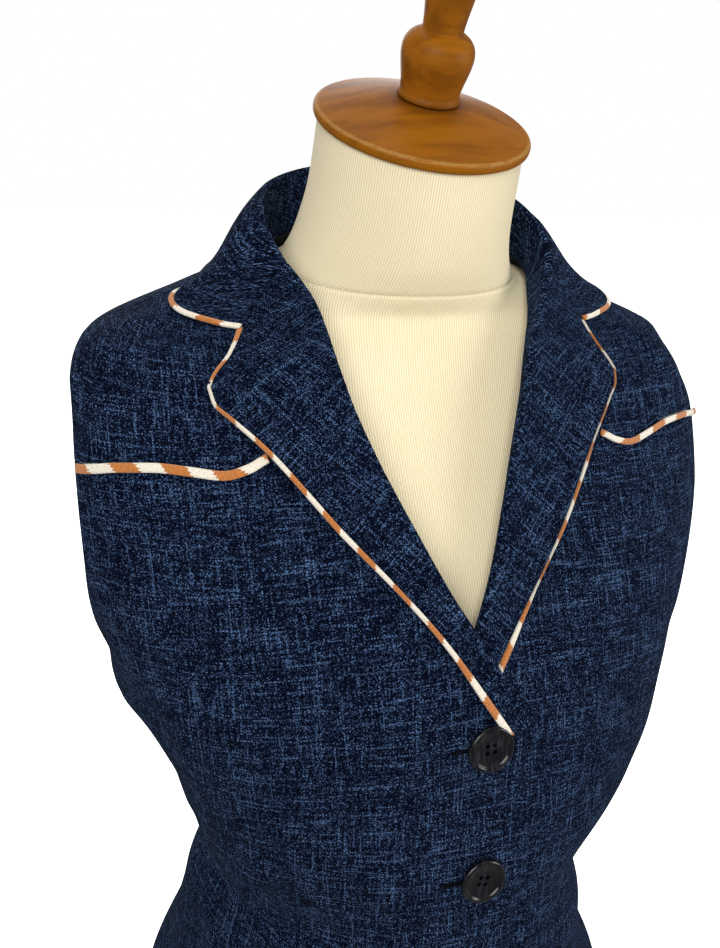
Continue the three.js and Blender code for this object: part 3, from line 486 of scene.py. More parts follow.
def lapel_middle(side, across, along, thickness):
    places = lapel_places(side, across, along)
    stand = lapel_row(along * LAPEL_STEPS)[..., 3]
    same = np.ones(len(along))
    edge_lift = 0.3 + (LAPEL_LIFT - 0.3) * smooth_step(0.2, 0.6, along)
    return rolled(side, places, stand, same * GORGE_WIDTH, same * (thickness / 2 + LAY), same * 0, thickness,
                  edge_lift)


collar_row = steady_curves([  # step, baseAngle, baseLevel, edgeAngle, edgeLevel, stand, upright
    (0, 59, 688, 45.3, 665.5, 17, 0), (1, 67, 689, 67, 665.5, 20, 0.3),
    (2, 77, 689.6, 87, 668, 24, 0.6), (3, 88, 690, 94, 672, 28, 0.9),
    (4, 101, 690, 103, 673.5, 30, 1), (5, 121, 690, 120, 674, 31, 1), (6, 141, 690, 138, 674, 31, 1),
    (7, 160, 690, 159, 675, 31, 1), (8, 180, 690, 180, 675, 31, 1)])
COLLAR_STEPS, COLLAR_RISE, GORGE_PARTING = 8, 2.2, 0.05


def collar_places(side, across, along):
    row = collar_row(along * COLLAR_STEPS)
    first, last = row[-1, :2], row[-1, 2:4]
    return filled(lambda s: gorge_place(side, s * NOTCH_SHARE),
                  lambda s: first + (last - first) * s[:, None],
                  lambda t: collar_row(t * COLLAR_STEPS)[..., :2],
                  lambda t: collar_row(t * COLLAR_STEPS)[..., 2:4], across, along)


def collar_half(side, across, along, thickness):
    """Half the collar, from the gorge seam to the centre back."""
    row = collar_row(along * COLLAR_STEPS)
    places = collar_places(side, across, along)
    points = cloth_point(side, places[..., 0], places[..., 1])
    length = np.linalg.norm(np.diff(points, axis=1), axis=-1).sum(1)
    share = smooth_step(0, 0.3, along)
    low = thickness / 2
    edge_lift = (LAPEL_LIFT * NOTCH_SHARE ** 2 + 0.8 * smooth_step(0, 0.08, along)
                 - 1.3 * smooth_step(0.25, 0.6, along))
    middle = rolled(side, places, row[:, 4], GORGE_WIDTH * (1 - share) + length * share,
                    low + LAY + (COLLAR_RISE - LAY) * smooth_step(0, 0.15, along), row[:, 5], thickness,
                    edge_lift)
    # The first rows part from the gorge seam along the way to the next ones.
    way = unit(middle[8] - middle[0])
    fade = np.clip(1 - along / 0.06, 0, 1)[:, None, None]
    return middle + way[None] * GORGE_PARTING * fade


def grid_normals(points):
    """The normals of a grid of points."""
    return unit(np.cross(np.gradient(points, axis=1), np.gradient(points, axis=0)))


def run_lengths(points, axis):
    """Lengths along a grid's lines, from their first points."""
    steps = np.linalg.norm(np.diff(points, axis=axis), axis=-1)
    first = np.zeros_like(np.take(steps, [0], axis))
    return np.concatenate([first, np.cumsum(steps, axis)], axis)


def half_thickness(points, thickness):
    """Half the cloth's thickness at each point, which falls to nothing round a rounded border."""
    across, along = run_lengths(points, 1), run_lengths(points, 0)
    edge = np.minimum.reduce([across, across[:, -1:] - across, along, along[-1:] - along])
    radius = thickness / 2
    inside = np.clip(edge / radius, 0, 1)
    return radius * np.sqrt(1 - (1 - inside) ** 2)


def pattern_table():
    """Where every angle and level lies on the flat cut: across from the front and up from the waist."""
    angles, levels = np.arange(-200.0, 200.5, 2.0), np.arange(HEM, NECK + 0.1, 4.0)
    points = body_point(angles[None, :], levels[:, None])
    across, up = run_lengths(points, 1), run_lengths(points, 0)
    across = across - across[:, np.argmin(np.abs(angles))][:, None]
    up = up - up[np.argmin(np.abs(levels - WAIST))][None, :]
    return angles, levels, across, up


def on_pattern(angle, level, centre=0.0):
    """The flat place in mm of a spot on the body, measured across from the angle centre."""
    angles, levels, across, up = PATTERN

    def read(table, at):
        i = np.clip((at - angles[0]) / 2.0, 0, len(angles) - 1.001)
        j = np.clip((level - HEM) / 4.0, 0, len(levels) - 1.001)
        i0, j0 = i.astype(int), j.astype(int)
        s, t = i - i0, j - j0
        low = table[j0, i0] * (1 - s) + table[j0, i0 + 1] * s
        high = table[j0 + 1, i0] * (1 - s) + table[j0 + 1, i0 + 1] * s
        return low * (1 - t) + high * t
    return np.stack([read(across, angle) - read(across, np.full_like(angle, centre)),
                     read(up, angle)], -1)


PATTERN = pattern_table()


# Mesh making

def linked(name, data):
    """A new object in the scene."""
    made = bpy.data.objects.new(name, data)
    bpy.context.scene.collection.objects.link(made)
    return made


def collect(name, mesh, slot, *nodes):
    """Puts a finished mesh in the scene as a piece that rides on the body and replaces nodes."""
    piece = linked(name, mesh)
    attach(piece, BODY)
    if nodes:
        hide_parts(*nodes)
    return piece


def shaped_grid(bm, points, uv, material=0):
    """Adds a grid and moves its vertices to an array of points in mm. uv is in mm on the flat cloth."""
    rows, columns = points.shape[:2]
    made = bmesh.ops.create_grid(bm, x_segments=columns - 1, y_segments=rows - 1, size=0.5)
    layer = bm.loops.layers.uv.verify()
    for vert in made["verts"]:
        i = round((vert.co.x + 0.5) * (columns - 1))
        j = round((vert.co.y + 0.5) * (rows - 1))
        vert.tag = True
        vert.co = points[j, i] * MM
        flat = uv[j, i] * MM
        for loop in vert.link_loops:
            loop[layer].uv = flat
    for face in {face for vert in made["verts"] for face in vert.link_faces}:
        face.smooth = True
        face.material_index = material
    return made["verts"]


def shell_mesh(name, middle, uv, thickness, flip=False, lined=False):
    """A cloth wall with rounded edges on both sides of a grid of middle points, in mm."""
    normals = grid_normals(middle) * (-1 if flip else 1)
    half = half_thickness(middle, thickness)[..., None]
    bm = bmesh.new()
    shaped_grid(bm, middle + normals * half, uv)
    shaped_grid(bm, middle - normals * half, uv, 1 if lined else 0)
    bmesh.ops.remove_doubles(bm, verts=bm.verts, dist=1e-7)
    bmesh.ops.recalc_face_normals(bm, faces=bm.faces)
    return finished(bm, name)


def finished(bm, name):
    """The mesh of a bmesh, which is freed."""
    mesh = bpy.data.meshes.new(name)
    bm.to_mesh(mesh)
    bm.free()
    mesh.shade_smooth()
    return mesh


def tube_mesh(name, rings, along, across):
    """A tube through rings of points in mm, whose last point is its first, with closed ends."""
    bm = bmesh.new()
    across = np.broadcast_to(across, rings.shape[:2])
    shaped_grid(bm, rings, np.stack(np.broadcast_arrays(across, along[:, None]), -1))
    bmesh.ops.remove_doubles(bm, verts=bm.verts, dist=1e-7)
    bmesh.ops.holes_fill(bm, edges=[edge for edge in bm.edges if edge.is_boundary], sides=0)
    bmesh.ops.recalc_face_normals(bm, faces=bm.faces)
    return finished(bm, name)


def turned_mesh(name, profile, steps, place_matrix):
    """A turned shape from a profile of (radius, height) in mm about +Z."""
    bm = bmesh.new()
    outline = rounded(np.array(profile, float))
    verts = [bm.verts.new((r * MM, 0, z * MM)) for r, z in outline]
    edges = [bm.edges.new(pair) for pair in zip(verts, verts[1:])]
    bmesh.ops.spin(bm, geom=verts + edges, cent=(0, 0, 0), axis=(0, 0, 1),
                   angle=FULL_TURN, steps=steps, use_merge=True, use_duplicate=False)
    bmesh.ops.remove_doubles(bm, verts=bm.verts, dist=1e-7)
    bmesh.ops.recalc_face_normals(bm, faces=bm.faces)
    bmesh.ops.transform(bm, matrix=place_matrix, verts=bm.verts)
    return finished(bm, name)


# Materials

class Recipe:
    """The nodes of one material, with its shader's own sockets set by name."""

    def __init__(self, name, **settings):
        self.material = bpy.data.materials.new(name)
        self.material.use_nodes = True
        self.tree = self.material.node_tree
        self.tree.nodes.clear()
        self.shader = self.tree.nodes.new("ShaderNodeBsdfPrincipled")
        output = self.tree.nodes.new("ShaderNodeOutputMaterial")
        self.tree.links.new(self.shader.outputs[0], output.inputs["Surface"])
        for key, value in settings.items():
            self.set(key.replace("_", " ").title().replace("Ior", "IOR"), value)

    def set(self, socket, value):
        self.feed(self.shader.inputs[socket], value)

    def feed(self, socket, value):
        if isinstance(value, bpy.types.NodeSocket):
            self.tree.links.new(value, socket)
        else:
            socket.default_value = value

    def node(self, kind, inputs=(), **settings):
        node = self.tree.nodes.new("ShaderNode" + kind)
        for key, value in settings.items():
            setattr(node, key, value)
        for key, value in dict(inputs).items():
            self.feed(node.inputs[key], value)
        return node

    def math(self, operation, *values):
        return self.node("Math", enumerate(values), operation=operation).outputs[0]

    def add(self, a, b):
        return self.math("ADD", a, b)

    def times(self, a, b):
        return self.math("MULTIPLY", a, b)

    def sine(self, value, rate):
        return self.math("SINE", self.times(value, rate))

    def stray(self, value, amount):
        """A noise about 0 instead of 0.5, at another strength."""
        return self.times(self.add(value, -0.5), amount)

    def ramp(self, value, low, high):
        """0 at low and 1 at high, with a soft rise."""
        node = self.node("MapRange", {"Value": value, "From Min": low, "From Max": high},
                         interpolation_type="SMOOTHSTEP")
        return node.outputs["Result"]

    def mix(self, share, a, b):
        """A colour between a and b."""
        node = self.node("Mix", data_type="RGBA")
        self.feed(node.inputs[0], share)
        self.feed(node.inputs[6], a if isinstance(a, bpy.types.NodeSocket) else (*a, 1))
        self.feed(node.inputs[7], b if isinstance(b, bpy.types.NodeSocket) else (*b, 1))
        return node.outputs[2]

    def blend(self, share, a, b):
        """A number between a and b."""
        return self.node("Mix", {0: share, 2: a, 3: b}).outputs[0]

    def vector(self, x, y, z=0.0):
        return self.node("CombineXYZ", {0: x, 1: y, 2: z}).outputs[0]

    def noise(self, vector, scale=1.0, detail=0.0, roughness=0.5, flat=False):
        settings = {"Vector": vector, "Scale": scale, "Detail": detail, "Roughness": roughness}
        node = self.node("TexNoise", settings, noise_dimensions="2D" if flat else "3D")
        return node.outputs[0]

    def cloth_mm(self):
        """Two numbers: the place on the flat cloth in mm, across and along."""
        uv = self.node("TexCoord").outputs["UV"]
        split = self.node("SeparateXYZ", {0: uv})
        return self.times(split.outputs[0], 1000), self.times(split.outputs[1], 1000)

    def mapped(self, vector, kind="POINT", **inputs):
        inputs = {key.title(): value for key, value in inputs.items()}
        return self.node("Mapping", {"Vector": vector, **inputs}, vector_type=kind).outputs[0]

    def object_mm(self):
        """The place in the object's own frame in mm."""
        return self.mapped(self.node("TexCoord").outputs["Object"], scale=(1000, 1000, 1000))

    def relief(self, height, depth_mm, strength=1.0):
        node = self.node("Bump", {"Height": height, "Distance": depth_mm * MM, "Strength": strength})
        self.set("Normal", node.outputs[0])


def slub_cloth():
    """Navy cloth of navy, black and pale threads with slubs along both ways of the weave."""
    colours, sizes = bpy.context.scene.vest_colours, bpy.context.scene.vest_sizes
    r = Recipe("navy_slub_cloth", roughness=0.95, sheen_weight=0.015, sheen_roughness=0.5,
               sheen_tint=(0.4, 0.55, 0.9, 1), specular_ior_level=0.03)
    x, y = r.cloth_mm()
    pitch = sizes.thread_spacing / MM
    lights, slubs = [], []
    for across, along, seed in ((x, y, 3.7), (y, x, 91.3)):
        wander = r.stray(r.noise(r.vector(r.times(across, 0.05), r.times(along, 0.02), seed)), 3.0)
        lane = r.math("FLOOR", r.math("DIVIDE", r.add(across, wander), pitch))
        lane_seed = r.add(r.times(lane, 7.31), seed)
        fleck = r.noise(r.vector(lane_seed, r.times(along, 1.2)), flat=True)
        thread = r.noise(r.vector(r.add(lane_seed, 40.5), r.times(along, 0.09)), flat=True)
        thick = r.noise(r.vector(r.add(lane_seed, 81.7), r.times(along, 0.028)), flat=True)
        lights.append(r.add(r.times(fleck, 0.68), r.times(thread, 0.32)))
        slubs.append(r.ramp(thick, 0.66, 0.74))
    lane_x = r.math("FLOOR", r.math("DIVIDE", x, pitch))
    lane_y = r.math("FLOOR", r.math("DIVIDE", y, pitch))
    over = r.math("FLOORED_MODULO", r.add(lane_x, lane_y), 2.0)
    light = r.blend(over, lights[0], lights[1])
    slub = r.blend(over, slubs[0], slubs[1])
    cloudy = r.noise(r.vector(r.times(x, 0.03), r.times(y, 0.03), 7.0), detail=2.0)
    light = r.add(light, r.stray(cloudy, 0.05))
    light = r.add(light, r.times(slub, 0.15))
    base = r.mix(r.ramp(light, 0.34, 0.56), colours.shadow_thread, colours.navy)
    base = r.mix(r.ramp(light, 0.57, 0.82), base, colours.fleck)
    r.set("Base Color", base)
    weave = r.times(r.sine(x, FULL_TURN / pitch), r.sine(y, FULL_TURN / pitch))
    r.relief(r.add(r.times(weave, 0.5), r.times(light, 1.4)), 0.16, 0.8)
    return r.material


def lining():
    """Plain dark lining with a soft satin gloss."""
    colours = bpy.context.scene.vest_colours
    r = Recipe("navy_lining", roughness=0.42, sheen_weight=0.2, sheen_roughness=0.3)
    x, y = r.cloth_mm()
    twill = r.sine(r.add(x, r.times(y, 0.6)), 7.0)
    tone = r.noise(r.vector(r.times(x, 0.5), r.times(y, 0.05)), detail=2.0)
    r.set("Base Color", r.mix(tone, colours.shadow_thread, colours.navy))
    r.relief(twill, 0.05, 0.6)
    return r.material


def block_tape():
    """Woven tape in alternate tan and cream blocks with slanted, toothed borders."""
    colours, sizes = bpy.context.scene.vest_colours, bpy.context.scene.vest_sizes
    r = Recipe("tan_and_cream_tape", roughness=0.85, sheen_weight=0.3, sheen_roughness=0.5)
    x, y = r.cloth_mm()
    block = sizes.block_length / MM
    tooth = r.math("PINGPONG", r.add(x, 0.2), 0.8)
    jag = r.stray(r.noise(r.vector(r.times(x, 1.4), r.times(y, 0.9))), 2.4)
    place_along = r.add(r.add(y, r.times(x, 0.75)), r.add(r.times(tooth, 1.5), jag))
    share = r.math("PINGPONG", place_along, block)
    edge = r.ramp(share, block * 0.5 - 0.25, block * 0.5 + 0.25)
    thread = r.noise(r.vector(r.times(x, 2.2), r.times(y, 1.0)), detail=1.0)
    tan = r.mix(r.ramp(thread, 0.3, 0.7), colours.tan_dark, colours.tan)
    cream = r.mix(r.ramp(thread, 0.25, 0.6), colours.cream_shade, colours.cream)
    r.set("Base Color", r.mix(edge, tan, cream))
    ribs, rows = r.sine(y, FULL_TURN / 0.75), r.sine(x, FULL_TURN / 0.6)
    r.relief(r.add(r.times(ribs, rows), r.times(thread, 1.2)), 0.14, 0.9)
    return r.material


def horn():
    """Polished dark horn with faint smoky streaks."""
    colours = bpy.context.scene.vest_colours
    r = Recipe("dark_horn", coat_weight=0.5, coat_roughness=0.04, specular_ior_level=0.08)
    spot = r.object_mm()
    streak = r.noise(r.mapped(spot, rotation=(0.4, 0.9, 0.3), scale=(0.5, 0.06, 0.12)), detail=3.0)
    fine = r.noise(spot, scale=0.9, detail=3.0)
    mixed = r.ramp(r.add(streak, r.stray(fine, 0.25)), 0.45, 0.75)
    r.set("Base Color", r.mix(mixed, colours.horn, colours.horn_streak))
    r.set("Roughness", r.add(0.1, r.times(fine, 0.12)))
    r.relief(fine, 0.02, 0.3)
    return r.material


def sewing_thread():
    """Twisted sewing thread, darkened almost to black: painted shade for the buttonholes' shaded loops and
    slits and the buttons' dark holes.
    """
    colours = bpy.context.scene.vest_colours
    r = Recipe("shade_darkened_thread", roughness=0.8, specular_ior_level=0.1)
    x, y = r.cloth_mm()
    twist = r.sine(r.add(y, r.times(x, 0.8)), 7.5)
    tone = r.ramp(twist, -1.0, 1.0)
    # Painted shade: both colours are darker than the cloth's navy, so the stitches read as shade.
    r.set("Base Color", r.mix(tone, (0.0006, 0.0008, 0.002), colours.shadow_thread))
    r.relief(twist, 0.08, 0.8)
    return r.material


def rib_jersey():
    """Cream jersey with fine upright ribs of knitted loops, and painted shade in the grooves between the
    ribs.
    """
    colours = bpy.context.scene.vest_colours
    r = Recipe("cream_rib_jersey", roughness=0.9, sheen_weight=0.1, sheen_roughness=0.5)
    x, y = r.cloth_mm()
    wave = r.stray(r.noise(r.vector(r.times(x, 0.03), r.times(y, 0.02))), 0.8)
    rib = r.sine(r.add(x, wave), FULL_TURN / 1.45)
    loops = r.sine(y, FULL_TURN / 0.9)
    cloudy = r.noise(r.vector(r.times(x, 0.02), r.times(y, 0.02), 5.0), detail=3.0)
    # Painted shade: the grooves between the ribs take the darker colour, with a cloudy random tone on top.
    groove = r.add(r.ramp(rib, -1.0, 0.6), r.stray(cloudy, 0.3))
    r.set("Base Color", r.mix(groove, colours.jersey_shade, colours.jersey))
    r.relief(r.add(rib, r.times(loops, 0.25)), 0.12, 0.6)
    return r.material


def varnished_wood():
    """Honey-brown varnished wood with darker grain, painted shade round the finial's foot, and paler edges
    that are worn and carry a painted highlight.
    """
    colours = bpy.context.scene.vest_colours
    r = Recipe("varnished_wood", coat_weight=0.05, coat_roughness=0.25, specular_ior_level=0.06)
    spot = r.object_mm()
    grain = (0.2, 0.08, 0.15)
    figure = r.noise(r.mapped(spot, rotation=grain, scale=(0.010, 0.11, 0.11)), detail=4.0, roughness=0.55)
    pores = r.noise(r.mapped(spot, rotation=grain, scale=(0.07, 1.5, 1.5)), detail=3.0)
    colour = r.mix(r.add(0.45, r.times(r.ramp(figure, 0.30, 0.62), 0.55)), colours.wood_dark, colours.wood)
    colour = r.mix(r.times(r.ramp(pores, 0.56, 0.74), 0.35), colour, colours.wood_dark)
    # Painted shade: the wood is darker round the finial's foot, in the corner where it meets the cap.
    local = r.mapped(r.node("TexCoord").outputs["Object"], "TEXTURE",
                     location=[value * MM for value in NECK_CENTRE], rotation=(NECK_LEAN, 0, 0))
    split = r.node("SeparateXYZ", {0: local})
    radius = r.math("SQRT", r.add(r.times(split.outputs[0], split.outputs[0]),
                                  r.times(split.outputs[1], split.outputs[1])))
    foot = r.times(r.ramp(radius, 0.027, 0.016), r.ramp(split.outputs[2], 0.021, 0.016))
    colour = r.mix(r.times(foot, 0.6), colour, colours.wood_dark)
    # The cap's rim and other sharp edges are paler: worn wood, with a painted highlight along the edges.
    edge = r.node("NewGeometry").outputs["Pointiness"]
    rim = r.times(r.ramp(radius, 0.0557, 0.0571), r.ramp(split.outputs[2], 0.0042, 0.0053))
    worn_and_highlight = r.times(r.math("MAXIMUM", r.ramp(edge, 0.515, 0.58), rim), r.ramp(pores, 0.35, 0.52))
    r.set("Base Color", r.mix(r.times(worn_and_highlight, 0.7), colour, colours.wood_worn_and_highlight))
    r.set("Roughness", r.add(0.42, r.times(pores, 0.2)))
    r.relief(pores, 0.04, 0.35)
    return r.material


def pale_floor():
    """Plain white studio floor."""
    r = Recipe("pale_floor", roughness=0.9)
    tone = r.noise(r.object_mm(), scale=0.004, detail=2.0)
    r.set("Base Color", r.mix(tone, (0.90, 0.90, 0.90), (0.93, 0.93, 0.93)))
    r.set("Emission Color", (1, 1, 1, 1))
    r.set("Emission Strength", 1.0)
    return r.material


def dress(piece, *makers):
    """Gives a piece its materials, which are made when the first piece needs them."""
    for name, make in makers:
        piece.data.materials.append(bpy.data.materials.get(name) or make())
    return piece


CLOTH = ("navy_slub_cloth", slub_cloth)
LINING = ("navy_lining", lining)
TAPE = ("tan_and_cream_tape", block_tape)
HORN = ("dark_horn", horn)
THREAD = ("shade_darkened_thread", sewing_thread)
JERSEY = ("cream_rib_jersey", rib_jersey)
WOOD = ("varnished_wood", varnished_wood)
FLOOR = ("pale_floor", pale_floor)


# Properties

def length_prop(name, description, default):
    return FloatProperty(name=name, description=description, default=default, min=0.0,
                         unit="LENGTH", precision=4)


def colour_prop(name, description, default):
    return FloatVectorProperty(name=name, description=description, default=default, size=3,
                               min=0.0, max=1.0, subtype="COLOR")


class VestSizes(PropertyGroup):
    cloth_thickness: length_prop("Cloth thickness", "Thickness of a cloth wall with its facing", 0.002)
    thread_spacing: length_prop("Thread spacing", "Distance between two threads of the cloth", 0.00072)
    yoke_piping_width: length_prop("Yoke piping width", "Width of the piping under the yoke seams", 0.005)
    yoke_piping_height: length_prop("Yoke piping height", "Height of the piping under the yokes", 0.0024)
    edge_piping_width: length_prop("Edge piping width", "Width of the piping on the collar and lapels", 0.003)
    edge_piping_height: length_prop("Edge piping height", "Height of the collar's and lapels' piping", 0.0026)
    block_length: length_prop("Block length", "Length of one tan or cream block of the piping", 0.0125)
    button_diameter: length_prop("Button diameter", "Diameter of a button", 0.0262)
    crease_amount: FloatProperty(name="Crease amount", description="How strong the fine creases are",
                                 default=1.0, min=0.0, max=2.0, subtype="FACTOR")


class VestColours(PropertyGroup):
    navy: colour_prop("Navy", "Most threads of the vest's cloth", (0.0024, 0.0049, 0.0180))
    shadow_thread: colour_prop("Shadow thread", "The darkest threads of the vest's cloth",
                               (0.0004, 0.0006, 0.0022))
    fleck: colour_prop("Fleck", "The pale threads of the vest's cloth", (0.085, 0.155, 0.30))
    tan: colour_prop("Tan", "Tan blocks of the piping", (0.66, 0.225, 0.035))
    tan_dark: colour_prop("Dark tan", "Shaded threads of the tan blocks", (0.42, 0.125, 0.018))
    cream: colour_prop("Cream", "Cream blocks of the piping", (0.95, 0.88, 0.74))
    cream_shade: colour_prop("Shaded cream", "Shaded threads of the cream blocks", (0.80, 0.68, 0.52))
    horn: colour_prop("Horn", "Main colour of the buttons", (0.0012, 0.0015, 0.003))
    horn_streak: colour_prop("Horn streak", "Smoky streaks in the buttons", (0.018, 0.018, 0.022))
    jersey: colour_prop("Jersey", "Ribs of the form's jersey", (0.92, 0.82, 0.57))
    # Painted shade of the jersey's grooves.
    jersey_shade: colour_prop("Shaded jersey", "Grooves of the form's jersey", (0.74, 0.62, 0.37))
    wood: colour_prop("Wood", "Main colour of the form's wood", (0.29, 0.098, 0.004))
    wood_dark: colour_prop("Dark wood", "Grain of the form's wood", (0.105, 0.028, 0.002))
    # Paler edges: wear, and a painted highlight.
    wood_worn_and_highlight: colour_prop("Worn wood", "Worn edges of the form's wood", (0.40, 0.22, 0.065))


def sizes():
    return bpy.context.scene.vest_sizes


def wall():
    """The thickness of a cloth wall in mm."""
    return sizes().cloth_thickness / MM


# Pieces

def panel(kind, name, side, across_mm, along_mm, across_count, along_count, places_of, centre):
    """One cloth panel with a lining on its inner face."""
    across, along = shares(across_mm, across_count), shares(along_mm, along_count)
    places = places_of(side, across, along)
    middle = cloth_point(side, places[..., 0], places[..., 1], -wall() / 2)
    uv = on_pattern(side * places[..., 0], places[..., 1], centre * side)
    inward = side if kind != "back" else -side
    mesh = shell_mesh(f"vest_{kind}_{name}", middle, uv, wall(), flip=inward < 0, lined=True)
    piece = collect(f"vest_{kind}_{name}", mesh, "vest_cloth", f"{kind}_{name}")
    dress(piece, CLOTH, LINING)
    return piece, middle, uv


class WESTERNVEST_OT_panels(Operator):
    """Makes the fronts, yokes and backs of the vest"""
    bl_idname = "western_vest.panels"
    bl_label = "Panels"

    def execute(self, context):
        for name, side in SIDES:
            made = panel("front", name, side, 160, 430, 92, 170, front_places, 0.0)
            made = panel("yoke", name, side, 130, 105, 84, 72, yoke_places, 0.0)
            made = panel("back", name, side, 150, 540, 96, 170, back_places, 180.0)
        return {"FINISHED"}


def folded_uv(middle, side, places, centre, turn):
    """Flat places of a rolled piece: the body's pattern where it falls, carried on over the fold."""
    falls = on_pattern(side * places[..., 0], places[..., 1], side * centre)[:, 1:]
    fold = middle.shape[1] - falls.shape[1]
    run = run_lengths(middle, 1)
    back = (run[:, fold:fold + 1] - run[:, :fold])[..., None]
    uv = np.concatenate([falls[:, :1] + unit(falls[:, :1] - falls[:, 4:5]) * back, falls], 1)
    c, s = math.cos(math.radians(turn)), math.sin(math.radians(turn))
    return uv @ np.array([[c, s], [-s, c]])


LAPEL_ROWS, COLLAR_ROWS = 150, 130


def lapel_shape(side):
    across = np.concatenate([[0, 0.03, 0.065], np.linspace(0.1, 0.985, 42), [0.991, 0.9955, 0.999, 1]])
    along = shares(250, LAPEL_ROWS)
    return across, along, lapel_middle(side, across, along, wall())


def collar_shape():
    """The whole collar, from the left gorge seam round the back to the right one."""
    across = np.concatenate([[0, 0.04, 0.09], np.linspace(0.14, 0.97, 30), [0.982, 0.991, 0.998, 1]])
    along = np.concatenate([[0, 0.0008, 0.0025, 0.005], np.linspace(0.009, 1, COLLAR_ROWS)])
    left, right = (collar_half(side, across, along, wall()) for side in (1, -1))
    # Both halves meet in one line at the centre back.
    left[-1] = right[-1] = (left[-1] + right[-1]) / 2
    return across, along, np.concatenate([left, right[-2::-1]])


class WESTERNVEST_OT_lapels(Operator):
    """Makes the two lapels, folded back over the fronts"""
    bl_idname = "western_vest.lapels"
    bl_label = "Lapels"

    def execute(self, context):
        for name, side in SIDES:
            across, along, middle = lapel_shape(side)
            uv = folded_uv(middle, side, lapel_places(side, across, along), 0.0, 41 * side)
            mesh = shell_mesh(f"vest_lapel_{name}", middle, uv, wall(), flip=side > 0)
            piece = dress(collect(f"vest_lapel_{name}", mesh, "vest_cloth", f"lapel_{name}"), CLOTH)
        return {"FINISHED"}


class WESTERNVEST_OT_collar(Operator):
    """Makes the collar, which stands at the neck and falls over the shoulders"""
    bl_idname = "western_vest.collar"
    bl_label = "Collar"

    def execute(self, context):
        across, along, middle = collar_shape()
        left, right = (folded_uv(middle[:len(along)] if side > 0 else middle[:-len(along) - 1:-1], side,
                                 collar_places(side, across, along), CENTRE_BACK, 0) for side in (1, -1))
        uv = np.concatenate([left, right[-2::-1]])
        mesh = shell_mesh("vest_collar", middle, uv, wall())
        piece = dress(collect("vest_collar", mesh, "vest_cloth", "collar"), CLOTH)
        return {"FINISHED"}


PIPING_SIDES = 14
TAPE_SQUARENESS, TAPE_END, TAPE_LIFT = 0.75, 0.9, 0.4
YOKE_PIPING_STEPS, LEFT_YOKE_PIPING_SHARE = (2.08, 7.9), 0.75
PIPING_START, NOTCH_END, UPWARD_WEIGHT = 0.004, 0.567, 40
# Along each edge: shares of the full width, and how far the piping is tucked under the edge in mm
RIGHT_LAPEL_WIDTHS = (
    (0, 0.25), (0.015, 1.1), (0.03, 1.35), (0.1, 1.35), (0.2, 0.95), (0.35, 0.8), (0.5, 1.0), (0.7, 0.85),
    (0.85, 0.55), (0.93, 0.6), (1, 0.9))
LEFT_LAPEL_WIDTHS = (
    (0, 0.6), (0.02, 1.2), (0.1, 1.4), (0.2, 1.1), (0.29, 0.55), (0.33, 0.2), (0.41, 0.2), (0.46, 0.5),
    (0.63, 0.5), (0.68, 0.15), (1, 0.15))
COLLAR_WIDTHS = ((0, 1.0), (0.05, 1.0), (0.3, 0.8), (0.7, 0.8), (0.95, 1.0), (1, 1.0))
COLLAR_TUCKS = ((0, 0), (0.06, 0), (0.12, 1.8), (0.84, 1.8), (0.9, 0), (1, 0))
EVEN, NO_TUCK = ((0, 1), (1, 1)), ((0, 0), (1, 0))


def piping(name, node, points, inside, normals, width, height, rise, widths=EVEN, tucks=NO_TUCK):
    """Tape that binds an edge: points run along the edge, and inside are points further in."""
    for _ in range(4):
        points[1:-1] = (points[:-2] + 2 * points[1:-1] + points[2:]) / 4
    along = unit(np.gradient(points, axis=0))
    out = points - inside
    out = unit(out - along * (out * along).sum(-1, keepdims=True))
    up = unit(normals - along * (normals * along).sum(-1, keepdims=True))
    run = run_lengths(points[:, None], 0)[:, 0]
    ends = np.minimum(run, run[-1] - run)
    full = np.sqrt(1 - (1 - np.clip(ends / TAPE_END, 0, 1)) ** 2)
    span = full * np.interp(run / run[-1], *zip(*widths))
    tuck = np.interp(run / run[-1], *zip(*tucks))[:, None]
    centre = points + out * (width / 2 + SEAM - 0.9 * tuck) + up * (rise - tuck)
    turn = np.linspace(0, FULL_TURN, PIPING_SIDES + 1)
    c, s = np.cos(turn), np.sin(turn)
    side_way = np.sign(c) * np.abs(c) ** TAPE_SQUARENESS * width / 2
    lift = np.sign(s) * np.abs(s) ** TAPE_SQUARENESS * height / 2
    slack = (width / 2) * (1 - span)[:, None]
    rings = (centre[:, None] + out[:, None] * (side_way[None] * span[:, None] - slack)[..., None]
             + up[:, None] * (lift[None] * full[:, None])[..., None])
    mesh = tube_mesh(name, rings, run, side_way + width)
    return dress(collect(name, mesh, "piping", node), TAPE)


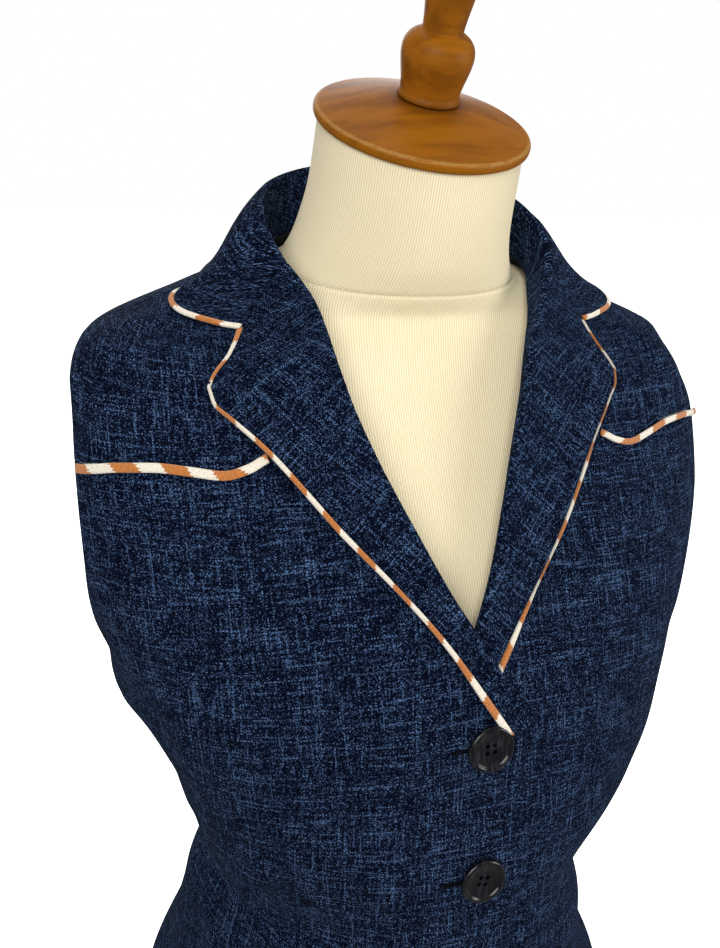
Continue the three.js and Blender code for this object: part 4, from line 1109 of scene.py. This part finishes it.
class WESTERNVEST_OT_piping(Operator):
    """Makes the tan and cream piping of the yokes, lapels and collar"""
    bl_idname = "western_vest.piping"
    bl_label = "Piping"

    def execute(self, context):
        s = sizes()
        width, height = s.edge_piping_width / MM, s.edge_piping_height / MM
        for name, side in SIDES:
            step = np.linspace(*YOKE_PIPING_STEPS, 116)
            spots = yoke_seam(side, step / YOKE_STEPS, 0.0)
            angle, level = spots[:, 0], spots[:, 1]
            yoke_height = s.yoke_piping_height / MM
            yoke_width = s.yoke_piping_width / MM * (LEFT_YOKE_PIPING_SHARE if side > 0 else 1)
            piping(f"piping_yoke_{name}", f"yoke_piping_{name}", cloth_point(side, angle, level),
                   cloth_point(side, angle, level + 3), body_normal(side * angle, level),
                   yoke_width, yoke_height, yoke_height / 2 + TAPE_LIFT)
            across, along, middle = lapel_shape(side)
            normals = away_from_body(middle)
            first = int(np.argmax(along >= PIPING_START))
            notch = middle.shape[1] - len(across) + int(np.argmax(across >= NOTCH_END))
            top = slice(middle.shape[1] - 6, notch - 1, -1)
            points = np.concatenate([middle[first:, -1], middle[-1, top]])
            inside = np.concatenate([middle[first:, -7], middle[-7, top]])
            ups = np.concatenate([normals[first:, -5], normals[-5, top]])
            piping(f"piping_lapel_{name}", f"lapel_piping_{name}", points, inside, ups, width, height,
                   TAPE_LIFT, LEFT_LAPEL_WIDTHS if side > 0 else RIGHT_LAPEL_WIDTHS)
        _, along, middle = collar_shape()
        normals = away_from_body(middle)
        cut = int(np.argmax(along >= PIPING_START))
        run = slice(cut, len(middle) - cut)
        piping("piping_collar", "collar_piping", middle[run, -1].copy(), middle[run, -6], normals[run, -5],
               width, height, TAPE_LIFT, COLLAR_WIDTHS, COLLAR_TUCKS)
        return {"FINISHED"}


def away_from_body(points):
    """A grid's normals, all pointing out from the body's axis or up."""
    normals = grid_normals(points)
    way = (points[..., :2] * normals[..., :2]).sum(-1) + UPWARD_WEIGHT * normals[..., 2]
    return normals * np.where(way < 0, -1, 1)[..., None]


# Button profile: radius and height above the underside, in mm, for a 25.4 mm button
BUTTON_PROFILE = (
    (0, 0), (8.5, 0), (8.8, 0.05), (12.0, 1.3), (12.5, 1.7), (12.7, 2.4), (12.55, 3.2), (12.0, 3.9),
    (11.4, 4.15), (10.7, 4.2), (10.1, 3.95), (9.7, 3.5), (9.45, 3.25), (9.1, 3.12), (8.7, 3.0),
    (7.5, 2.72), (5.5, 2.45), (3.0, 2.35), (0, 2.32))
PROFILE_DIAMETER, BUTTON_SIDES = 0.0254, 96
HOLE_RADIUS, HOLE_REACH, HOLE_TAPER, HOLE_SIDES = 1.2, 2.9, 1.08, 20
BUTTON_TURNS = (3, -14, 8)
THREAD_RADIUS, THREAD_LOW, THREAD_BOW = 0.3, 0.7, 1.45


def button_place(level):
    """The matrix that puts a button, made about +Z at the origin, on the right front."""
    half = sizes().button_diameter / MM / 2
    spots = [Vector(cloth_point(-1, 0.0, at)) for at in (level, level + half, level - half)]
    normal = Vector((1, 0, 0)).cross(spots[1] - spots[2]).normalized()
    turn = Vector((0, 0, 1)).rotation_difference(normal).to_matrix().to_4x4()
    return Matrix.Translation((spots[0] + normal * BUTTON_SPACE) * MM) @ turn


def button_mesh(name, matrix, turn):
    """A turned four-hole button, with its holes cut through."""
    scale = sizes().button_diameter / PROFILE_DIAMETER
    profile = [(r * scale, z) for r, z in BUTTON_PROFILE]
    body = linked(name, turned_mesh(name, profile, BUTTON_SIDES, Matrix.Identity(4)))
    cutter_mesh = bpy.data.meshes.new(name + "_holes")
    bm = bmesh.new()
    for quarter in range(4):
        angle = math.radians(45 + 90 * quarter + turn)
        at = Matrix.Translation(Vector((math.cos(angle), math.sin(angle), 0)) * HOLE_REACH * MM)
        bmesh.ops.create_cone(bm, cap_ends=True, segments=HOLE_SIDES, radius1=HOLE_RADIUS * MM,
                              radius2=HOLE_RADIUS * HOLE_TAPER * MM, depth=0.012, matrix=at)
    bm.to_mesh(cutter_mesh)
    bm.free()
    cutter = linked(name + "_holes", cutter_mesh)
    cut = body.modifiers.new("holes", "BOOLEAN")
    cut.object, cut.operation, cut.solver = cutter, "DIFFERENCE", "EXACT"
    bevel = body.modifiers.new("soft_holes", "BEVEL")
    bevel.width, bevel.segments, bevel.angle_limit = 0.00012, 2, math.radians(40)
    bpy.context.view_layer.update()
    mesh = bpy.data.meshes.new_from_object(body.evaluated_get(bpy.context.evaluated_depsgraph_get()))
    mesh.name = name
    mesh.transform(matrix)
    mesh.shade_smooth()
    for used in (body, cutter):
        bpy.data.objects.remove(used)
    return mesh


def loop_tube(name, path, radius, flat=1.0, beads=0.0, bead_mm=0.8, closed=False, ups=None):
    """A thread along a path of points in mm. beads makes it swell at every stitch."""
    along = np.gradient(path, axis=0)
    if closed:
        along[0] = along[-1] = path[1] - path[-2]
    along = unit(along)
    if ups is None:
        ups = np.broadcast_to([0.0, 0.0, 1.0], path.shape)
    ups = unit(ups - along * (ups * along).sum(-1, keepdims=True))
    sideways = np.cross(along, ups)
    run = run_lengths(path[:, None], 0)[:, 0]
    swell = radius * (1 + beads * np.abs(np.sin(np.pi * run / bead_mm)))
    if not closed:
        swell = swell * np.sqrt(1 - (1 - np.clip(np.minimum(run, run[-1] - run) / radius, 0, 1)) ** 2)
    turn = np.linspace(0, FULL_TURN, 9)
    rings = (path[:, None] + sideways[:, None] * (np.cos(turn)[None] * swell[:, None])[..., None]
             + ups[:, None] * (np.sin(turn)[None] * swell[:, None] * flat)[..., None])
    return tube_mesh(name, rings, run, turn * radius)


class WESTERNVEST_OT_buttons(Operator):
    """Makes the three buttons and the thread that holds them"""
    bl_idname = "western_vest.buttons"
    bl_label = "Buttons"

    def execute(self, context):
        reach = HOLE_REACH / math.sqrt(2)
        x = np.linspace(-reach, reach, 17)
        height = THREAD_LOW + THREAD_BOW * (1 - (x / reach) ** 4)
        for number, (level, turn) in enumerate(zip(BUTTON_LEVELS, BUTTON_TURNS), 1):
            matrix = button_place(level)
            name = f"vest_button_{number}"
            dress(collect(name, button_mesh(name, matrix, turn), "button", f"button_{number}"), HORN)
            for row, y in enumerate((-reach, reach), 1):
                path = np.stack([x, np.full_like(x, y), height], -1)
                mesh = loop_tube(f"{name}_thread_{row}", path, THREAD_RADIUS)
                mesh.transform(matrix @ Matrix.Rotation(math.radians(turn), 4, "Z"))
                dress(collect(f"{name}_thread_{row}", mesh, "vest_cloth"), THREAD)
        return {"FINISHED"}


BUTTONHOLE_LENGTH, BUTTONHOLE_WIDTH, BUTTONHOLE_START = 24.0, 1.4, 2.5
STITCH_RADIUS, STITCH_LENGTH, STITCH_HEIGHT = 0.5, 0.75, 0.25


class WESTERNVEST_OT_buttonholes(Operator):
    """Makes the stitched buttonholes, whose outer ends show beside the buttons"""
    bl_idname = "western_vest.buttonholes"
    bl_label = "Buttonholes"

    def execute(self, context):
        turn = np.linspace(0, FULL_TURN, 241)
        c, s = np.cos(turn), np.sin(turn)
        half, half_width = BUTTONHOLE_LENGTH / 2, BUTTONHOLE_WIDTH / 2
        x = BUTTONHOLE_START - half + (half - half_width) * np.sign(c) * np.abs(c) ** 0.25 + half_width * c
        for number, level in enumerate(BUTTON_LEVELS, 1):
            z = level + half_width * s
            own = -angle_at(x, z)
            path = cloth_point(-1, own, z, STITCH_HEIGHT)
            path[-1] = path[0]
            mesh = loop_tube(f"buttonhole_{number}", path, STITCH_RADIUS, flat=0.7, beads=0.25,
                             bead_mm=STITCH_LENGTH, closed=True, ups=body_normal(-own, z))
            dress(collect(f"buttonhole_{number}", mesh, "vest_cloth"), THREAD)
        return {"FINISHED"}


FORM_SIDES, NECK_SEAM, SEAM_GROOVE_DEPTH, SEAM_GROOVE_HALF = 160, 693.0, 0.8, 1.1
# Levels between which the form's dents fade in and out, and the jersey's length round the neck in mm
DENTS_FROM, DENTS_TO, NECK_ROUND = (200, 260), (460, 400), 370
# The base board: shares of the form's lowest outline and of the board's height
BASE_HEIGHT = 16.0
BASE_PROFILE = ((0.97, 0), (1.0, 0), (1.03, 0.02), (1.04, 0.15), (1.04, 0.85), (1.03, 0.98), (1.0, 1),
                (0.97, 1))


def form_piece(node, rings, across, slot, material):
    """A closed piece of the form from its rings."""
    mesh = tube_mesh(f"dress_{node}", rings, run_lengths(rings, 0).mean(1), across)
    dress(collect(f"dress_{node}", mesh, slot, node), material)


class WESTERNVEST_OT_form(Operator):
    """Makes the jersey-covered torso and its base board"""
    bl_idname = "western_vest.form"
    bl_label = "Dress form"

    def execute(self, context):
        angles = np.linspace(-180, 180, FORM_SIDES + 1)
        levels = np.concatenate([np.linspace(16, 24, 5)[:-1], np.linspace(24, 640, 120)[:-1],
                                 np.linspace(640, 689, 28)[:-1], np.linspace(689, 699, 21),
                                 np.linspace(699, 745, 28)[1:]])
        rings = ring_point(form_section(levels)[:, None], angles[None])
        # The form gives way under the vest's folds, and has a sewn groove at the neck's foot.
        at, level = np.broadcast_arrays(angles[None], np.clip(levels, HEM, NECK)[:, None])
        fade = smooth_step(*DENTS_FROM, level) * smooth_step(*DENTS_TO, level)
        dent = np.clip(crease_depth(at, level), 0, None) * fade
        dent = dent + SEAM_GROOVE_DEPTH * np.exp(-((levels[:, None] - NECK_SEAM) / SEAM_GROOVE_HALF) ** 2)
        rings = rings - body_normal(at, level) * (1, 1, 0) * dent[..., None]
        rings[:, -1] = rings[:, 0]
        around = run_lengths(rings, 1)
        around = around - around[:, FORM_SIDES // 2:FORM_SIDES // 2 + 1]
        across = np.where(levels[:, None] > NECK_SEAM, angles[None] / 360 * NECK_ROUND, around)
        form_piece("form_torso", rings, across, "form_jersey", JERSEY)
        foot = ring_point(form_section(BASE_HEIGHT), angles)
        rings = np.stack([foot * (share, share, 0) + (0, 0, (BASE_HEIGHT - SEAM) * height)
                          for share, height in rounded(np.array(BASE_PROFILE, float))])
        rings[:, -1] = rings[:, 0]
        form_piece("form_base", rings, angles, "form_wood", WOOD)
        return {"FINISHED"}


NECK_CENTRE, NECK_LEAN = (0.0, -14.7, 743.8), math.atan2(42, 104)
# Radius and height in mm along the neck's leaning axis
CAP_PROFILE = (
    (0, 0), (56.6, 0), (57.6, 0.2), (58.3, 0.8), (58.6, 1.8), (58.6, 3.4), (58.3, 4.4), (57.6, 5.0),
    (56.4, 5.5), (54, 6.1), (48, 7.7), (38, 10.6), (26, 13.6), (18, 14.9), (14, 15.4), (0, 15.4))
FINIAL_PROFILE = (
    (0, 0), (15.6, 0), (16.6, 0.3), (17.0, 1.2), (16.8, 2.4), (16.0, 3.2), (15.7, 4.2), (16.1, 8),
    (17.8, 15), (19, 21.5), (18.6, 27), (16, 31.0), (12.6, 33.2), (10.9, 33.6), (10.5, 34.2),
    (10.9, 40), (12.4, 50), (14.4, 64), (15, 72), (14.2, 76), (12.6, 78.6), (7.5, 81.8), (0, 83))
FINIAL_START, TURNED_SIDES = 16.0, 128


class WESTERNVEST_OT_neck(Operator):
    """Makes the turned wooden cap and finial on the form's neck"""
    bl_idname = "western_vest.neck"
    bl_label = "Neck cap and finial"

    def execute(self, context):
        lean = Matrix.Translation(Vector(NECK_CENTRE) * MM) @ Matrix.Rotation(NECK_LEAN, 4, "X")
        for node, profile, lift in (("form_neck_cap", CAP_PROFILE, SEAM),
                                    ("form_neck_finial", FINIAL_PROFILE, FINIAL_START)):
            stand = lean @ Matrix.Translation((0, 0, lift * MM))
            mesh = turned_mesh(f"dress_{node}", profile, TURNED_SIDES, stand)
            dress(collect(f"dress_{node}", mesh, "form_wood", node), WOOD)
        return {"FINISHED"}


# Stage

ROOM_LIGHT, FLOOR_SIZE = 0.33, 9.0
# name, place, target, size (all in metres) and power in watts
LIGHTS = (
    ("key", (-1.1, -1.8, 1.5), (0, -0.05, 0.5), 1.5, 45),
    ("fill", (1.9, -1.3, 0.9), (0, -0.05, 0.5), 1.2, 28),
    ("rear", (0.4, 1.9, 1.3), (0, 0, 0.45), 1.4, 24),
    ("top", (0.1, 0.5, 2.4), (0, 0, 0.6), 1.2, 7))
# Angles in degrees and lengths in mm. The camera looks at a point above the origin and in front of it.
CAMERA = {"azimuth": -21.5, "elevation": 19.5, "roll": 2.7, "distance": 545.0, "aside": -33.2,
          "forward": -40, "height": 556.0}
LENS_PIXELS, LONG_SIDE_PIXELS, SENSOR = 950.0, 948.0, 36.0


def camera_matrix():
    """The camera's place and turn, found from the photo."""
    a, e, roll = (math.radians(CAMERA[key]) for key in ("azimuth", "elevation", "roll"))
    back = Vector((math.sin(a) * math.cos(e), -math.cos(a) * math.cos(e), math.sin(e)))
    right = Vector((math.cos(a), math.sin(a), 0))
    up = back.cross(right)
    target = Vector((0, CAMERA["forward"], CAMERA["height"])) + right * CAMERA["aside"]
    spot = (target + back * CAMERA["distance"]) * MM
    x = right * math.cos(roll) + up * math.sin(roll)
    y = up * math.cos(roll) - right * math.sin(roll)
    turn = Matrix((x, y, back)).transposed().to_4x4()
    return Matrix.Translation(spot) @ turn


def soft_light(name, spot, target, size, power):
    """A square area light at a spot, which points at the target. Both are in metres."""
    light = bpy.data.lights.new(name, "AREA")
    light.shape, light.size, light.energy = "SQUARE", size, power
    lamp = linked(name, light)
    lamp.location = spot
    lamp.rotation_euler = (Vector(target) - Vector(spot)).to_track_quat("-Z", "Y").to_euler()


class WESTERNVEST_OT_stage(Operator):
    """Makes the floor, lights and camera"""
    bl_idname = "western_vest.stage"
    bl_label = "Stage"

    def execute(self, context):
        scene = context.scene
        bm = bmesh.new()
        bmesh.ops.create_grid(bm, x_segments=8, y_segments=8, size=FLOOR_SIZE)
        floor = linked("floor", finished(bm, "floor"))
        floor.location.z = CAD_BOX[0].z
        floor.visible_diffuse = floor.visible_glossy = False
        dress(floor, FLOOR)
        world = bpy.data.worlds.new("studio")
        scene.world = world
        world.use_nodes = True
        background = world.node_tree.nodes["Background"]
        background.inputs["Color"].default_value = (1, 1, 1, 1)
        # The backdrop is white, and the room that lights the object is grey.
        path = world.node_tree.nodes.new("ShaderNodeLightPath")
        level = world.node_tree.nodes.new("ShaderNodeMapRange")
        level.inputs["To Min"].default_value = ROOM_LIGHT
        links = world.node_tree.links
        links.new(path.outputs["Is Camera Ray"], level.inputs["Value"])
        links.new(level.outputs[0], background.inputs["Strength"])
        for light in LIGHTS:
            soft_light(*light)
        camera = linked("camera", bpy.data.cameras.new("camera"))
        camera.data.sensor_width = SENSOR
        camera.data.sensor_fit = "AUTO"
        camera.data.lens = SENSOR * LENS_PIXELS / LONG_SIDE_PIXELS
        camera.data.clip_start, camera.data.clip_end = 0.01, 50
        camera.matrix_world = camera_matrix()
        scene.camera = camera
        scene.view_settings.view_transform = "Standard"
        scene.view_settings.look = "None"
        return {"FINISHED"}


class WESTERNVEST_PT_sidebar(Panel):
    """Shows the sizes, the colours and a button for every group of pieces"""
    bl_label = "Western Vest"
    bl_idname = "WESTERNVEST_PT_sidebar"
    bl_space_type = "VIEW_3D"
    bl_region_type = "UI"
    bl_category = "Western Vest"

    def draw(self, context):
        layout = self.layout
        for group in (context.scene.vest_sizes, context.scene.vest_colours):
            box = layout.box()
            for key in group.__annotations__:
                box.prop(group, key)
        for operator in OPERATORS:
            layout.operator(operator.bl_idname)


# In the order in which main runs them: cloth comes after the trims that it carries.
OPERATORS = (
    WESTERNVEST_OT_stage, WESTERNVEST_OT_piping, WESTERNVEST_OT_buttons, WESTERNVEST_OT_buttonholes,
    WESTERNVEST_OT_panels, WESTERNVEST_OT_lapels, WESTERNVEST_OT_collar, WESTERNVEST_OT_form,
    WESTERNVEST_OT_neck)
CLASSES = (VestSizes, VestColours, *OPERATORS, WESTERNVEST_PT_sidebar)


def register():
    for cls in CLASSES:
        bpy.utils.register_class(cls)
    bpy.types.Scene.vest_sizes = PointerProperty(type=VestSizes)
    bpy.types.Scene.vest_colours = PointerProperty(type=VestColours)


def unregister():
    del bpy.types.Scene.vest_colours
    del bpy.types.Scene.vest_sizes
    for cls in reversed(CLASSES):
        bpy.utils.unregister_class(cls)


def main():
    register()
    ops = bpy.ops.western_vest
    for make in (ops.stage, ops.piping, ops.buttons, ops.buttonholes, ops.panels, ops.lapels, ops.collar,
                 ops.form, ops.neck):
        make()


if __name__ == "__main__":
    main()
